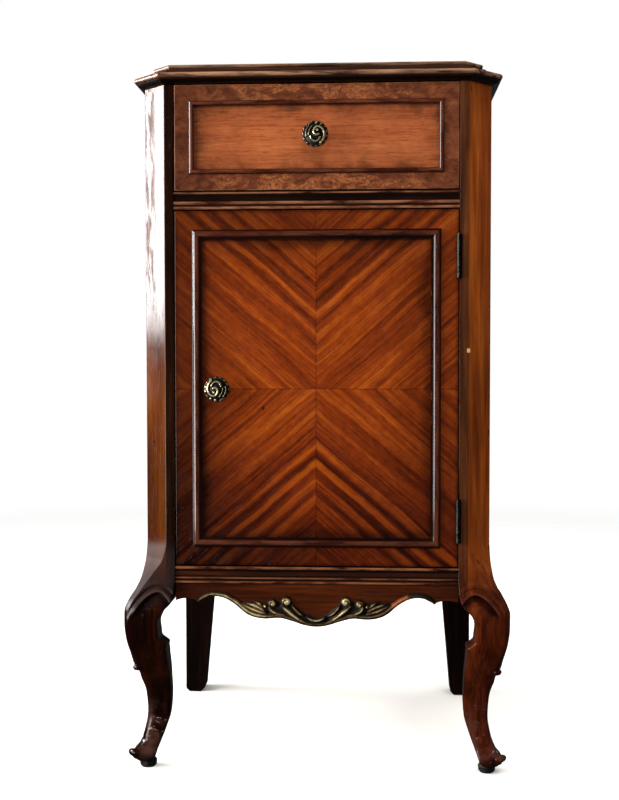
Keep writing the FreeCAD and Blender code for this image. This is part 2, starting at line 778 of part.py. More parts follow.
def catch():
    """Ball catch in the door's edge, its spring, and the dimpled plate that it meets in the post."""
    axis = Vector(1, 0, 0)
    mouth = Vector(-DOOR_HALF, DOOR_T / 2, CATCH_Z)
    bore = cylinder(BALL_R + 0.1, CATCH_LENGTH - 2.0, mouth, axis)
    save("catch_case", catch_case().cut(bore))
    centre = mouth + Vector(BALL_R - BALL_OUT, 0, 0)
    save("catch_ball", Part.makeSphere(BALL_R, centre))
    start = centre + Vector(BALL_R + SPRING_WIRE, 0, 0)
    length = CATCH_LENGTH - 2.0 - SPRING_WIRE - (start - mouth).x
    helix = Part.makeHelix(length / SPRING_TURNS, length, SPRING_R)
    ring = Part.Wire(Part.makeCircle(SPRING_WIRE, Vector(SPRING_R, 0, 0), Vector(0, 1, 0)))
    spring = Part.Wire(helix).makePipeShell([ring], True, True)
    spring.rotate(Vector(0, 0, 0), Vector(0, 1, 0), 90)
    spring.translate(start)
    save("catch_spring", spring)
    dimple = Part.makeSphere(BALL_R + 0.3, centre - Vector(BALL_OUT, 0, 0))
    save("strike_plate", strike_plate().cut(dimple))


def strike_plate():
    plate_x = (-OPENING - 1.0, -OPENING)
    return block(plate_x, (DOOR_T / 2 - 6, DOOR_T / 2 + 6), (CATCH_Z - 14, CATCH_Z + 14))


# ---------------------------------------------------------------- assembly


def build():
    os.makedirs("parts", exist_ok=True)
    save("top_board", top_board())
    cornice_pieces()
    leg = front_leg()
    save("front_leg_right", cut_all(leg, hinge_room(1)))
    save("front_leg_left", mirrored(leg).cut(strike_plate()))
    pair("foot_pad", foot_pad())
    pair("back_leg", back_leg())
    pair("side_panel", side_panel())
    back_boards()
    save("mid_rail", mid_rail())
    save("bottom_rail", bottom_rail())
    save("apron", apron())
    save("apron_carving", apron_carving())
    inner_boards()
    drawer()
    door()
    hinges()
    catch()


build()
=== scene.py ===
import math

import bpy
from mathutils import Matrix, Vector


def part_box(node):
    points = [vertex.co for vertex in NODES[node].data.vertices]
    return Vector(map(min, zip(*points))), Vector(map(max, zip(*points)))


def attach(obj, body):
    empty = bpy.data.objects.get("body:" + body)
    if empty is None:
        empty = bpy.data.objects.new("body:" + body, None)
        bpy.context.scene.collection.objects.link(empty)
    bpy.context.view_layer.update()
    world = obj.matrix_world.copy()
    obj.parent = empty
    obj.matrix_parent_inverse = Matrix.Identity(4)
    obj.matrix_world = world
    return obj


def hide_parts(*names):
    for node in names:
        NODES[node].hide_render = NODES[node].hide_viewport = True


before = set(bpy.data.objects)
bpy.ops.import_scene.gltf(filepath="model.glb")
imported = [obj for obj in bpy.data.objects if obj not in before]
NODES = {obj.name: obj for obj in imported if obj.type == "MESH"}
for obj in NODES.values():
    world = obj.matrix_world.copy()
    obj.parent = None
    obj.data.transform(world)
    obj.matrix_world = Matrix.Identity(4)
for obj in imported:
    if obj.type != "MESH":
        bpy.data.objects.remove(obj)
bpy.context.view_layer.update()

# A bedside cabinet in mahogany: procedural finishes for the CAD pieces, and carved meshes in place of
# the plain legs, knobs and apron border. Lengths are metres; tables marked mm are millimetres.

MM = 0.001

# Planes and half widths that the finishes and the carving are placed from
RAIL_DEPTH = 0.028
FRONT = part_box("mid_rail")[1].y - RAIL_DEPTH
HALF_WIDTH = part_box("side_panel_right")[1].x
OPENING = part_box("mid_rail")[1].x
CANT = 0.0264
POST_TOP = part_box("front_leg_right")[1].z
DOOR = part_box("door_panel")
DOOR_MIDDLE = (DOOR[0].z + DOOR[1].z) / 2
DOOR_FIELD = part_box("door_moulding_right")[0].x
DOOR_FIELD_Z = (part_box("door_moulding_bottom")[1].z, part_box("door_moulding_top")[0].z)
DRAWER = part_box("drawer_front")
DRAWER_MIDDLE = (DRAWER[0].z + DRAWER[1].z) / 2
DRAWER_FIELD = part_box("drawer_bead_right")[0].x
DRAWER_FIELD_Z = (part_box("drawer_bead_bottom")[1].z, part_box("drawer_bead_top")[0].z)

# The camera stands in front of the cabinet, a little to its right, and looks slightly down and left
CAMERA_PLACE = Vector((0.065, FRONT - 1.3343, 0.4725))
CAMERA_TURN = (math.pi / 2 - 0.0382, 0.0006, 0.0541)
CAMERA_LENS = 53.4


# ---------------- material nodes


def linear(code):
    """A hex colour as linear RGBA."""
    parts = [int(code[i : i + 2], 16) / 255 for i in (0, 2, 4)]
    return (*[c / 12.92 if c <= 0.04045 else ((c + 0.055) / 1.055) ** 2.4 for c in parts], 1.0)


class Finish:
    """One material. Most methods add nodes and return an output; hex strings are colours."""

    def __init__(self, name):
        self.material = bpy.data.materials.new(name)
        self.material.use_nodes = True
        self.tree = self.material.node_tree
        self.tree.nodes.clear()
        self.shader = self.add("ShaderNodeBsdfPrincipled")
        self.add("ShaderNodeOutputMaterial", Surface=self.shader.outputs["BSDF"])
        self.place = self.add("ShaderNodeTexCoord").outputs["Object"]
        axes = self.add("ShaderNodeSeparateXYZ", Vector=self.place)
        self.x, self.y, self.z = axes.outputs

    def put(self, socket, value):
        if isinstance(value, bpy.types.NodeSocket):
            self.tree.links.new(value, socket)
        else:
            socket.default_value = linear(value) if isinstance(value, str) else value

    def add(self, kind, **inputs):
        node = self.tree.nodes.new(kind)
        for name, value in inputs.items():
            self.put(node.inputs[name.replace("_", " ")], value)
        return node

    def math(self, operation, *values):
        node = self.add("ShaderNodeMath")
        node.operation = operation
        for socket, value in zip(node.inputs, values):
            self.put(socket, value)
        return node.outputs[0]

    def plus(self, *values):
        total = values[0]
        for value in values[1:]:
            total = self.math("ADD", total, value)
        return total

    def minus(self, a, b):
        return self.math("SUBTRACT", a, b)

    def times(self, *values):
        total = values[0]
        for value in values[1:]:
            total = self.math("MULTIPLY", total, value)
        return total

    def size(self, value):
        return self.math("ABSOLUTE", value)

    def most(self, a, b):
        return self.math("MAXIMUM", a, b)

    def least(self, a, b):
        return self.math("MINIMUM", a, b)

    def ease(self, value, low, high, start=0.0, end=1.0):
        """Smooth change from start to end as value goes from low to high."""
        node = self.add("ShaderNodeMapRange")
        node.interpolation_type = "SMOOTHSTEP"
        for socket, number in zip(node.inputs, (value, low, high, start, end)):
            self.put(socket, number)
        return node.outputs[0]

    def near(self, value, centre, half, soft):
        """1 within half of the centre, falling to 0 over soft."""
        return self.ease(self.size(self.minus(value, centre)), half, half + soft, 1.0, 0.0)

    def vector(self, x, y, z):
        return self.add("ShaderNodeCombineXYZ", X=x, Y=y, Z=z).outputs[0]

    def stretch(self, scale, place=None):
        mapping = self.add("ShaderNodeMapping", Vector=place or self.place, Scale=scale)
        return mapping.outputs[0]

    def noise(self, scale, detail=3.0, roughness=0.5, distortion=0.0, place=None):
        """Cloudy map from 0 to 1; scale is cells per metre along each axis."""
        scale = scale if isinstance(scale, tuple) else (scale, scale, scale)
        node = self.add(
            "ShaderNodeTexNoise",
            Vector=self.stretch(scale, place),
            Scale=1.0,
            Detail=detail,
            Roughness=roughness,
            Distortion=distortion,
        )
        return node.outputs[0]

    def cells(self, scale):
        """Distance to the nearest of many scattered points."""
        node = self.add("ShaderNodeTexVoronoi", Vector=self.place, Scale=scale)
        return node.outputs["Distance"]

    def ramp(self, value, *stops):
        """Colour by value: stops are (position, hex colour)."""
        node = self.add("ShaderNodeValToRGB", Fac=value)
        elements = node.color_ramp.elements
        while len(elements) < len(stops):
            elements.new(1.0)
        for element, (position, code) in zip(elements, stops):
            element.position = position
            element.color = linear(code)
        return node.outputs[0]

    def mix(self, factor, a, b, mode="MIX"):
        node = self.add("ShaderNodeMix")
        node.data_type = "RGBA"
        node.blend_type = mode
        self.put(node.inputs[0], factor)
        self.put(node.inputs[6], a)
        self.put(node.inputs[7], b)
        return node.outputs[2]

    def shade(self, colour, value):
        """The colour times a grey value."""
        return self.mix(1.0, colour, self.vector(value, value, value), "MULTIPLY")

    def darken(self, colour, mask, least):
        """The colour, down to this much of itself where the mask is 1."""
        return self.shade(colour, self.ease(mask, 0.0, 1.0, 1.0, least))

    def relief(self):
        """The relief that the mesh carries."""
        node = self.add("ShaderNodeAttribute")
        node.attribute_name = "relief"
        return node.outputs["Fac"]

    def length(self, vector):
        node = self.add("ShaderNodeVectorMath", Vector=vector)
        node.operation = "LENGTH"
        return node.outputs["Value"]

    def bump(self, height, distance):
        node = self.add("ShaderNodeBump", Height=height, Distance=distance, Strength=1.0)
        return node.outputs[0]

    def done(self, colour, roughness, normal, **constants):
        self.put(self.shader.inputs["Base Color"], colour)
        self.put(self.shader.inputs["Roughness"], roughness)
        self.put(self.shader.inputs["Normal"], normal)
        for name, value in constants.items():
            self.put(self.shader.inputs[name.replace("_", " ")], value)
        return self.material


def along(axis, across, lengthwise):
    """Noise scale for grain that runs along one axis."""
    return tuple(lengthwise if name == axis else across for name in "XYZ")


def figure(mat, axis, share):
    """Tone, fine lines and pores of a board with its grain along one axis. The tone is this share of
    broad streaks, and fine lines for the rest."""
    streaks = mat.noise(along(axis, 55.0, 4.0), 4.0, 0.6, 0.6)
    lines = mat.noise(along(axis, 420.0, 14.0), 3.0, 0.6)
    pores = mat.ease(mat.noise(along(axis, 900.0, 55.0), 2.0, 0.5), 0.60, 0.72)
    tone = mat.plus(mat.times(streaks, share), mat.times(lines, 1.0 - share))
    return tone, lines, pores


def polish(mat, colour, lines, pores, gloss=0.24, relief=0.00015, coat=0.25, sheen=0.16):
    """French polish over open grain: pores show through it as fine pits."""
    height = mat.minus(mat.times(lines, 0.5), pores)
    haze = mat.ease(mat.noise(28.0, 3.0, 0.6), 0.35, 0.75, 0.0, 0.1)
    roughness = mat.plus(gloss, haze, mat.times(pores, 0.1))
    return mat.done(
        colour,
        roughness,
        mat.bump(height, relief),
        Specular_IOR_Level=sheen,
        Coat_Weight=coat,
        Coat_Roughness=0.08,
    )


def mahogany(name, axis, dark, middle, light, gloss=0.24):
    """Plain stained mahogany."""
    mat = Finish(name)
    tone, lines, pores = figure(mat, axis, 0.6)
    colour = mat.ramp(tone, (0.34, dark), (0.5, middle), (0.66, light))
    cloud = mat.ease(mat.noise(9.0, 2.0), 0.3, 0.7, 0.78, 1.12)
    colour = mat.shade(colour, mat.times(cloud, mat.ease(pores, 0.0, 1.0, 1.0, 0.55)))
    return polish(mat, colour, lines, pores, gloss)


def back_leg_wood(dark, middle, light):
    """Rear corner posts: brown beside the panels, almost black on the legs below them as painted shade.
    """
    mat = Finish("back_leg_wood")
    tone, lines, pores = figure(mat, "Z", 0.6)
    post = mat.ramp(tone, (0.34, dark), (0.5, middle), (0.66, light))
    # painted shade: the legs under the cabinet are given a near-black ramp
    leg = mat.ramp(tone, (0.34, "050302"), (0.5, "0C0403"), (0.66, "1A0B06"))
    colour = mat.mix(mat.ease(mat.z, 0.26, 0.19), post, leg)
    colour = mat.darken(colour, pores, 0.6)
    return polish(mat, colour, lines, pores, 0.45, coat=0.0, sheen=0.03)


# ---------------- finishes of the pieces

FACE_DEPTH = 0.006  # how far behind a front's face its veneer reaches: just past the sunk field


def plain_behind(mat, colour, face, axis):
    """The colour on a front's face and in its sunk field, plain mahogany on its sides and back; face
    is the y of the face."""
    tone, _, _ = figure(mat, axis, 0.6)
    plain = mat.ramp(tone, (0.34, "2E1409"), (0.5, "54290F"), (0.66, "74401C"))
    behind = mat.ease(mat.y, face + FACE_DEPTH - 0.0004, face + FACE_DEPTH + 0.0004)
    return mat.mix(behind, colour, plain)


STRIPE_SLANT = math.radians(41)
STRIPE_PITCH = 0.0165
BLEMISH_X, BLEMISH_Z = -0.060, 0.412


def striped_veneer():
    """Door: four matched leaves of striped veneer whose stripes climb away from the middle."""
    mat = Finish("veneer_door")
    rising, running = math.sin(STRIPE_SLANT), math.cos(STRIPE_SLANT)
    side = mat.math("SIGN", mat.x)
    rise = mat.minus(mat.z, DOOR_MIDDLE)
    leaf = mat.plus(side, mat.times(mat.math("SIGN", rise), 2.0))
    u, w = mat.size(mat.x), mat.size(rise)
    across = mat.minus(mat.times(w, running), mat.times(u, rising))
    length = mat.plus(mat.times(w, rising), mat.times(u, running))
    wander = mat.minus(mat.noise(14.0, 2.0), 0.5)
    across = mat.plus(across, mat.times(wander, 0.006))
    leaf_place = mat.vector(across, length, mat.times(leaf, 0.0022))

    broad = mat.noise((80.0, 2.5, 60.0), 3.0, 0.6, place=leaf_place)
    middle = mat.noise((290.0, 5.0, 60.0), 3.0, 0.6, place=leaf_place)
    fine = mat.noise((900.0, 22.0, 60.0), 2.0, 0.6, place=leaf_place)
    roe = mat.noise((150.0, 95.0, 60.0), 3.0, 0.6, place=leaf_place)
    strong = mat.times(mat.ease(across, 0.030, 0.048), mat.ease(across, 0.115, 0.085))
    phase = mat.plus(mat.times(across, 2 * math.pi / STRIPE_PITCH), mat.times(broad, 5.0))
    wave = mat.math("SINE", phase)
    tone = mat.plus(
        mat.times(mat.minus(broad, 0.5), 0.75),
        mat.times(mat.minus(middle, 0.5), 0.6),
        mat.times(mat.minus(fine, 0.5), 0.34),
        mat.times(mat.minus(roe, 0.5), 0.3),
        mat.times(wave, strong, mat.ease(rise, -0.03, 0.03, 0.19, 0.13)),
        0.54,
    )
    warm = mat.ramp(tone, (0.14, "1C0700"), (0.36, "4E1A03"), (0.56, "722A04"), (0.84, "98480C"))
    deep = mat.ramp(tone, (0.14, "110301"), (0.36, "360E02"), (0.56, "571B03"), (0.84, "7E3405"))
    low = mat.ease(mat.z, DOOR_MIDDLE + 0.02, DOOR[0].z + 0.04)
    colour = mat.mix(low, warm, deep)

    # Grime and painted shade beside the moulding, a darker border, and the thin joints between the
    # leaves
    field_x = mat.minus(DOOR_FIELD, u)
    field_z = mat.least(mat.minus(mat.z, DOOR_FIELD_Z[0]), mat.minus(DOOR_FIELD_Z[1], mat.z))
    field = mat.least(field_x, field_z)
    rim = mat.least(
        mat.minus(DOOR[1].x, u),
        mat.least(mat.minus(mat.z, DOOR[0].z), mat.minus(DOOR[1].z, mat.z)),
    )
    # grime and painted shade: the field darker towards the moulding
    smoke = mat.plus(field, mat.times(wander, 0.03))
    grime_and_shade = mat.times(mat.ease(smoke, 0.0, 0.014, 0.45, 1.0), mat.ease(smoke, 0.0, 0.07, 0.66, 1.0))
    inside = mat.ease(field, -0.004, -0.002)
    # a darker border, darkest at the left as painted shade
    border = mat.ease(mat.x, -0.155, 0.155, 0.40, 0.70)
    grime_and_shade = mat.plus(mat.times(grime_and_shade, inside), mat.times(mat.minus(1.0, inside), border))
    # painted shade: darker towards the lower left of the door
    slope = mat.plus(mat.x, mat.times(mat.minus(mat.z, DOOR[0].z), 0.7))
    painted_shade_low_left = mat.ease(slope, -0.16, 0.06, 0.42, 1.0)
    # darker within 5 mm of the door's edges
    rim_darkening = mat.ease(rim, 0.0, 0.005, 0.5, 1.0)
    joint = mat.least(mat.size(mat.x), w)
    joint_shade = mat.ease(joint, 0.0002, 0.0007, 0.5, 1.0)
    pores = mat.ease(mat.noise((1100.0, 50.0, 60.0), 2.0, place=leaf_place), 0.6, 0.74)
    spot = mat.vector(mat.minus(mat.x, BLEMISH_X), 0.0, mat.minus(mat.z, BLEMISH_Z))
    mark = mat.ease(mat.length(spot), 0.0012, 0.0026, 0.3, 1.0)
    for value in (grime_and_shade, painted_shade_low_left, rim_darkening, joint_shade, mark):
        colour = mat.shade(colour, value)
    colour = plain_behind(mat, colour, DOOR[0].y, "Z")
    colour = mat.darken(colour, pores, 0.62)
    return polish(mat, colour, fine, pores)


def drawer_veneer():
    """Drawer front: plain horizontal veneer in the sunk field, burr veneer in the mitred border."""
    mat = Finish("veneer_drawer")
    u, w = mat.size(mat.x), mat.size(mat.minus(mat.z, DRAWER_MIDDLE))
    rim_x, rim_z = mat.minus(DRAWER[1].x, u), mat.minus(DRAWER[1].z - DRAWER_MIDDLE, w)
    field = mat.least(
        mat.minus(DRAWER_FIELD, u),
        mat.minus((DRAWER_FIELD_Z[1] - DRAWER_FIELD_Z[0]) / 2, w),
    )
    inside = mat.ease(field, -0.003, -0.002)
    outside = mat.minus(1.0, inside)

    grain, lines, pores = figure(mat, "X", 0.6)
    threads = mat.noise((26.0, 300.0, 620.0), 3.0, 0.65)
    mottle = mat.noise((150.0, 150.0, 260.0), 3.0, 0.65)
    tone = mat.plus(mat.times(grain, 0.5), mat.times(threads, 0.3), mat.times(mottle, 0.2))
    plain = mat.ramp(tone, (0.34, "6A2E14"), (0.45, "8A4522"), (0.55, "9A532C"), (0.66, "A8663C"))

    # The border: dull red-brown at the sides, light burr patches with dark pips along the strips
    flame = mat.noise((34.0, 34.0, 60.0), 4.0, 0.65, 1.4)
    speck = mat.noise(430.0, 3.0, 0.6)
    strip = mat.ease(mat.minus(rim_z, rim_x), 0.0, -0.06)
    patch = mat.times(mat.ease(flame, 0.46, 0.6), strip)
    cloudy = mat.plus(mat.times(flame, 0.6), mat.times(mottle, 0.4))
    dull = mat.ramp(cloudy, (0.34, "3C1B0D"), (0.5, "592C18"), (0.66, "703E22"))
    light = mat.ramp(speck, (0.36, "5A2B15"), (0.5, "804826"), (0.64, "985C34"))
    burr = mat.mix(mat.times(patch, 0.7), dull, light)
    pips = mat.times(
        mat.ease(mat.cells(190.0), 0.12, 0.26, 1.0, 0.0), mat.ease(flame, 0.48, 0.58), strip
    )
    burr = mat.darken(burr, pips, 0.3)
    colour = mat.mix(inside, burr, plain)

    # grime and painted shade: the field darker towards the beads
    smudge = mat.noise(26.0, 4.0, 0.65)
    corner = mat.plus(field, mat.times(mat.minus(smudge, 0.5), 0.05))
    grime_and_shade = mat.times(
        mat.ease(corner, -0.006, 0.010, 0.45, 1.0), mat.ease(corner, 0.0, 0.034, 0.74, 1.0)
    )
    grime_and_shade = mat.plus(mat.times(grime_and_shade, inside), outside)
    # painted shade: darker towards the left
    left = mat.ease(mat.x, -0.15, -0.06, 0.72, 1.0)
    mitre = mat.ease(mat.size(mat.minus(rim_x, rim_z)), 0.0002, 0.0007, 0.5, 1.0)
    mitre = mat.plus(mat.times(mitre, outside), inside)
    for value in (grime_and_shade, left, mitre):
        colour = mat.shade(colour, value)
    rim = mat.least(rim_x, rim_z)
    chips = mat.times(mat.ease(rim, 0.0003, 0.0010, 1.0, 0.0), mat.ease(smudge, 0.4, 0.6))
    colour = mat.mix(mat.times(chips, 0.55), colour, "B07A50")
    colour = plain_behind(mat, colour, DRAWER[0].y, "X")
    colour = mat.darken(colour, pores, 0.62)
    return polish(mat, colour, lines, pores, 0.26)


def moulding_wood(name, axis, crest, dark, middle, light, bright):
    """Dark moulding, rubbed lighter on its crests with a painted highlight, and painted shade back from
    them: crest is the y of the proudest line.
    """
    mat = Finish(name)
    tone, lines, pores = figure(mat, axis, 0.7)
    colour = mat.ramp(tone, (0.32, dark), (0.5, middle), (0.7, light))
    rub = mat.noise(along(axis, 120.0, 22.0), 3.0, 0.6)
    # wear and painted highlight on the crests
    wear_and_highlight = mat.times(mat.ease(mat.y, crest + 0.0011, crest + 0.0002), mat.ease(rub, 0.36, 0.62))
    # painted shade: darker back from the crest, in the hollows of the profile
    hollow = mat.ease(mat.y, crest + 0.0010, crest + 0.0024, 1.0, 0.22)
    colour = mat.mix(mat.times(wear_and_highlight, 0.7), mat.shade(colour, hollow), bright)
    colour = mat.darken(colour, pores, 0.7)
    return polish(mat, colour, lines, pores, 0.12, coat=0.8)


def top_wood(name, axis):
    """Very dark top and cornice, edges lighter from wear and painted highlight, painted shadow under the
    cornice; reach is the distance outside the body's plan.
    """
    mat = Finish(name)
    tone, lines, pores = figure(mat, axis, 0.7)
    colour = mat.ramp(tone, (0.32, "140906"), (0.5, "2A140B"), (0.7, "472413"))
    front_reach = mat.minus(FRONT, mat.y)
    side_reach = mat.minus(mat.size(mat.x), HALF_WIDTH)
    corner_reach = mat.times(mat.plus(side_reach, front_reach, CANT), 1 / math.sqrt(2))
    reach = mat.most(mat.most(front_reach, side_reach), corner_reach)
    rub = mat.noise(along(axis, 160.0, 16.0), 4.0, 0.65)
    # wear and painted highlight on the nose, the reeds and the top arris
    nose = mat.ease(reach, 0.0096, 0.0116)
    reeds = mat.times(mat.ease(reach, -0.0112, -0.0096), mat.ease(reach, -0.0070, -0.0090))
    arris = mat.times(
        mat.near(reach, -0.0110, 0.0004, 0.0014), mat.ease(mat.z, 0.7965, 0.7998, 0.0, 0.6)
    )
    wear_and_highlight = mat.times(mat.plus(nose, mat.times(reeds, 0.6), arris), mat.ease(rub, 0.34, 0.66))
    colour = mat.mix(mat.least(mat.times(wear_and_highlight, 0.8), 0.85), colour, "9A7254")
    # painted shadow under the nose of the cornice
    hollow = mat.times(mat.ease(mat.z, 0.7832, 0.7790), mat.ease(reach, 0.0108, 0.0070))
    colour = mat.darken(colour, hollow, 0.04)
    colour = mat.darken(colour, pores, 0.7)
    return polish(mat, colour, lines, pores, 0.3)


NICK_Z = 0.477  # a chip on the right post's arris


def leg_wood():
    """Post and leg: brown post with a lighter cant and a darker front strip, partly painted shade,
    darker and redder leg.
    """
    mat = Finish("mahogany_leg")
    tone, lines, pores = figure(mat, "Z", 0.75)
    # the front strip's darker ramp is partly painted shade beside the door and drawer
    strip = mat.ramp(tone, (0.32, "1C0C06"), (0.5, "40200F"), (0.68, "603216"))
    cant = mat.ramp(tone, (0.32, "4A1C07"), (0.5, "76350A"), (0.68, "9C5016"))
    leg = mat.ramp(tone, (0.32, "100301"), (0.5, "300D03"), (0.68, "542107"))
    arris = HALF_WIDTH - CANT
    on_cant = mat.ease(mat.size(mat.x), arris - 0.0004, arris + 0.0006)
    colour = mat.mix(on_cant, strip, cant)
    colour = mat.mix(mat.ease(mat.z, 0.27, 0.19), colour, leg)

    # Painted shade: the left post and leg are darker than the right ones, and the post's foot more so
    high = mat.ease(mat.z, 0.2, 0.26)
    left = mat.ease(mat.x, 0.0, -0.01)
    left_shade = mat.mix(high, "808080", mat.mix(on_cant, "707070", "8C8C8C"))
    colour = mat.mix(left, colour, left_shade, "MULTIPLY")
    # painted shade: the left post darker from 0.42 m down to 0.28 m
    low = mat.plus(1.0, mat.times(left, mat.ease(mat.z, 0.42, 0.28, 0.0, -0.3), high))
    colour = mat.shade(colour, low)
    cloud = mat.ease(mat.noise(9.0, 2.0), 0.3, 0.7, 0.75, 1.15)
    flecks = mat.ease(mat.noise((110.0, 110.0, 45.0), 2.0), 0.69, 0.75, 1.0, 0.4)
    flecks = mat.plus(mat.times(flecks, on_cant), mat.minus(1.0, on_cant))
    colour = mat.shade(colour, mat.times(flecks, cloud, mat.ease(pores, 0.0, 1.0, 1.0, 0.6)))
    nick = mat.times(mat.near(mat.z, NICK_Z, 0.0012, 0.002), mat.near(mat.x, arris, 0.001, 0.0015))
    colour = mat.mix(nick, colour, "C8986A")

    # Scuffs at the ankle, painted shade in the cuts of the carving, wear and painted sheen on its crests
    scratch = mat.noise((130.0, 130.0, 420.0), 2.0, 0.5, 0.8)
    zone = mat.times(mat.ease(mat.z, 0.09, 0.05), mat.ease(mat.z, 0.008, 0.02))
    scuff = mat.times(zone, mat.ease(scratch, 0.68, 0.72))
    dull = mat.times(zone, mat.ease(mat.noise(60.0, 3.0), 0.42, 0.6))
    colour = mat.mix(mat.times(dull, 0.35), colour, "4A322A")
    colour = mat.mix(mat.times(scuff, 0.6), colour, "A08A7C")
    relief = mat.relief()
    # painted shade darkens the carved hollows by depth; wear and painted sheen lighten the proud crests
    cut = mat.ease(relief, -0.8, -2.2)
    proud = mat.ease(relief, 1.0, 2.2)
    colour = mat.darken(colour, cut, 0.35)
    colour = mat.mix(mat.times(proud, 0.12), colour, "6A4638")

    # Crazed polish high on the left cant, duller polish where the left leg flares out
    crazed = mat.times(
        mat.ease(mat.noise((160.0, 160.0, 26.0), 4.0, 0.7), 0.44, 0.6),
        mat.ease(mat.y, FRONT + 0.008, FRONT + 0.018),
        left,
        mat.ease(mat.z, 0.46, 0.58),
    )
    flare = mat.times(mat.ease(mat.z, 0.27, 0.24), mat.ease(mat.z, 0.18, 0.21), left)
    gloss = mat.plus(0.13, mat.times(crazed, 0.4), mat.times(flare, 0.45))
    return polish(mat, colour, lines, pores, gloss, 0.00005, coat=0.0, sheen=0.2)


def pale_wood():
    """Unpolished inside boards."""
    mat = Finish("pale_carcass_wood")
    tone, lines, pores = figure(mat, "Y", 0.7)
    colour = mat.ramp(tone, (0.3, "8C6A45"), (0.5, "A98459"), (0.7, "C2A074"))
    stain = mat.ease(mat.noise(12.0, 3.0), 0.35, 0.7, 0.7, 1.05)
    colour = mat.shade(colour, mat.times(stain, mat.ease(pores, 0.0, 1.0, 1.0, 0.8)))
    height = mat.minus(lines, pores)
    return mat.done(colour, 0.62, mat.bump(height, 0.0002))


def antique_brass():
    """Cast brass, black in the hollows and rubbed bright on the ridges of the knob's relief."""
    mat = Finish("antique_brass")
    cloud = mat.noise(260.0, 3.0, 0.6)
    height = mat.plus(mat.relief(), mat.times(mat.minus(cloud, 0.5), 0.3))
    colour = mat.ramp(height, (0.2, "040302"), (0.5, "40331C"), (0.85, "CBBC90"))
    roughness = mat.ease(height, 0.2, 0.8, 0.5, 0.24)
    normal = mat.bump(mat.noise(1400.0, 2.0), 0.00008)
    mat.put(mat.shader.inputs["Metallic"], mat.ease(height, 0.1, 0.4, 0.0, 0.75))
    return mat.done(colour, roughness, normal)


def gilt_finish():
    """Old gilding on carved wood: gold on the crests, black in the hollows, rubbed to wood at right."""
    mat = Finish("gilt_carving")
    cloud = mat.noise(150.0, 3.0, 0.65)
    rubbed = mat.times(mat.ease(mat.x, -0.045, -0.070), 0.16)
    height = mat.plus(mat.relief(), mat.times(mat.minus(cloud, 0.5), 0.55), rubbed)
    gold = mat.ramp(height, (0.46, "050302"), (0.66, "2C1E0E"), (0.85, "7C6238"), (1.0, "D2BE90"))
    tarnish = mat.ramp(height, (0.42, "040302"), (0.7, "262216"), (1.0, "7E765C"))
    gold = mat.mix(mat.ease(mat.x, 0.100, 0.106), gold, tarnish)
    bare = mat.ramp(height, (0.3, "2E1004"), (0.6, "763410"), (0.95, "A85E2C"))
    patch = mat.times(mat.near(mat.x, 0.0945, 0.007, 0.004), mat.ease(cloud, 0.3, 0.42))
    colour = mat.mix(patch, gold, bare)
    metal = mat.times(mat.ease(height, 0.35, 0.7, 0.0, 0.55), mat.minus(1.0, patch))
    mat.put(mat.shader.inputs["Metallic"], metal)
    roughness = mat.ease(height, 0.2, 0.9, 0.6, 0.34)
    return mat.done(colour, roughness, mat.bump(cloud, 0.0003))


def plain_metal(name, dark, light, rough):
    """Steel or brass fittings with handling marks."""
    mat = Finish(name)
    cloud = mat.noise(220.0, 4.0, 0.65)
    brushed = mat.noise((900.0, 900.0, 60.0), 2.0)
    colour = mat.ramp(cloud, (0.3, dark), (0.7, light))
    roughness = mat.ease(cloud, 0.3, 0.7, rough, rough + 0.2)
    mat.put(mat.shader.inputs["Metallic"], 1.0)
    return mat.done(colour, roughness, mat.bump(brushed, 0.00006))


def pad_finish():
    """Black pads under the feet, dusty and scuffed."""
    mat = Finish("pad_black")
    dust = mat.noise(240.0, 3.0, 0.6)
    colour = mat.ramp(dust, (0.4, "050404"), (0.6, "14100E"), (0.78, "3A332E"))
    return mat.done(colour, mat.ease(dust, 0.3, 0.7, 0.4, 0.7), mat.bump(dust, 0.0004))


def floor_finish():
    """Plain pale floor that fades out into the white surroundings."""
    mat = Finish("floor")
    cloud = mat.noise(1.5, 2.0)
    colour = mat.ramp(cloud, (0.3, "F1EDE6"), (0.7, "F6F3EE"))
    fade = mat.ease(mat.length(mat.place), 0.7, 2.4, 1.0, 0.0)
    mat.put(mat.shader.inputs["Alpha"], fade)
    return mat.done(colour, 0.6, mat.bump(cloud, 0.0005))


# ---------------- mesh building


def cubic(rows, at, column):
    """Column of a table at a value of its first column, by smooth cubic steps. Rows fall in order."""
    if at >= rows[0][0]:
        return rows[0][column]
    if at <= rows[-1][0]:
        return rows[-1][column]

    def gradient(i):
        if i in (0, len(rows) - 1):
            return 0.0
        before, here, after = rows[i - 1], rows[i], rows[i + 1]
        first = (here[column] - before[column]) / (here[0] - before[0])
        second = (after[column] - here[column]) / (after[0] - here[0])
        return 0.0 if first * second <= 0 else 2 * first * second / (first + second)

    i = next(k for k in range(len(rows) - 1) if at >= rows[k + 1][0])
    span = rows[i + 1][0] - rows[i][0]
    t = (at - rows[i][0]) / span
    a, b = gradient(i) * span, gradient(i + 1) * span
    move = rows[i + 1][column] - rows[i][column]
    return rows[i][column] + t * (a + t * (3 * move - 2 * a - b + t * (a + b - 2 * move)))


def smoothstep(value, low, high):
    t = min(1.0, max(0.0, (value - low) / (high - low)))
    return t * t * (3 - 2 * t)


def hump(value, centre, width):
    return math.exp(-(((value - centre) / width) ** 2))


def between(a, b, c, d, t):
    """From b (t = 0) to c (t = 1), along a smooth curve that also aims at a and d."""
    return 0.5 * (2 * b + t * (c - a + t * (2 * a - 5 * b + 4 * c - d + t * (3 * b - a - 3 * c + d))))


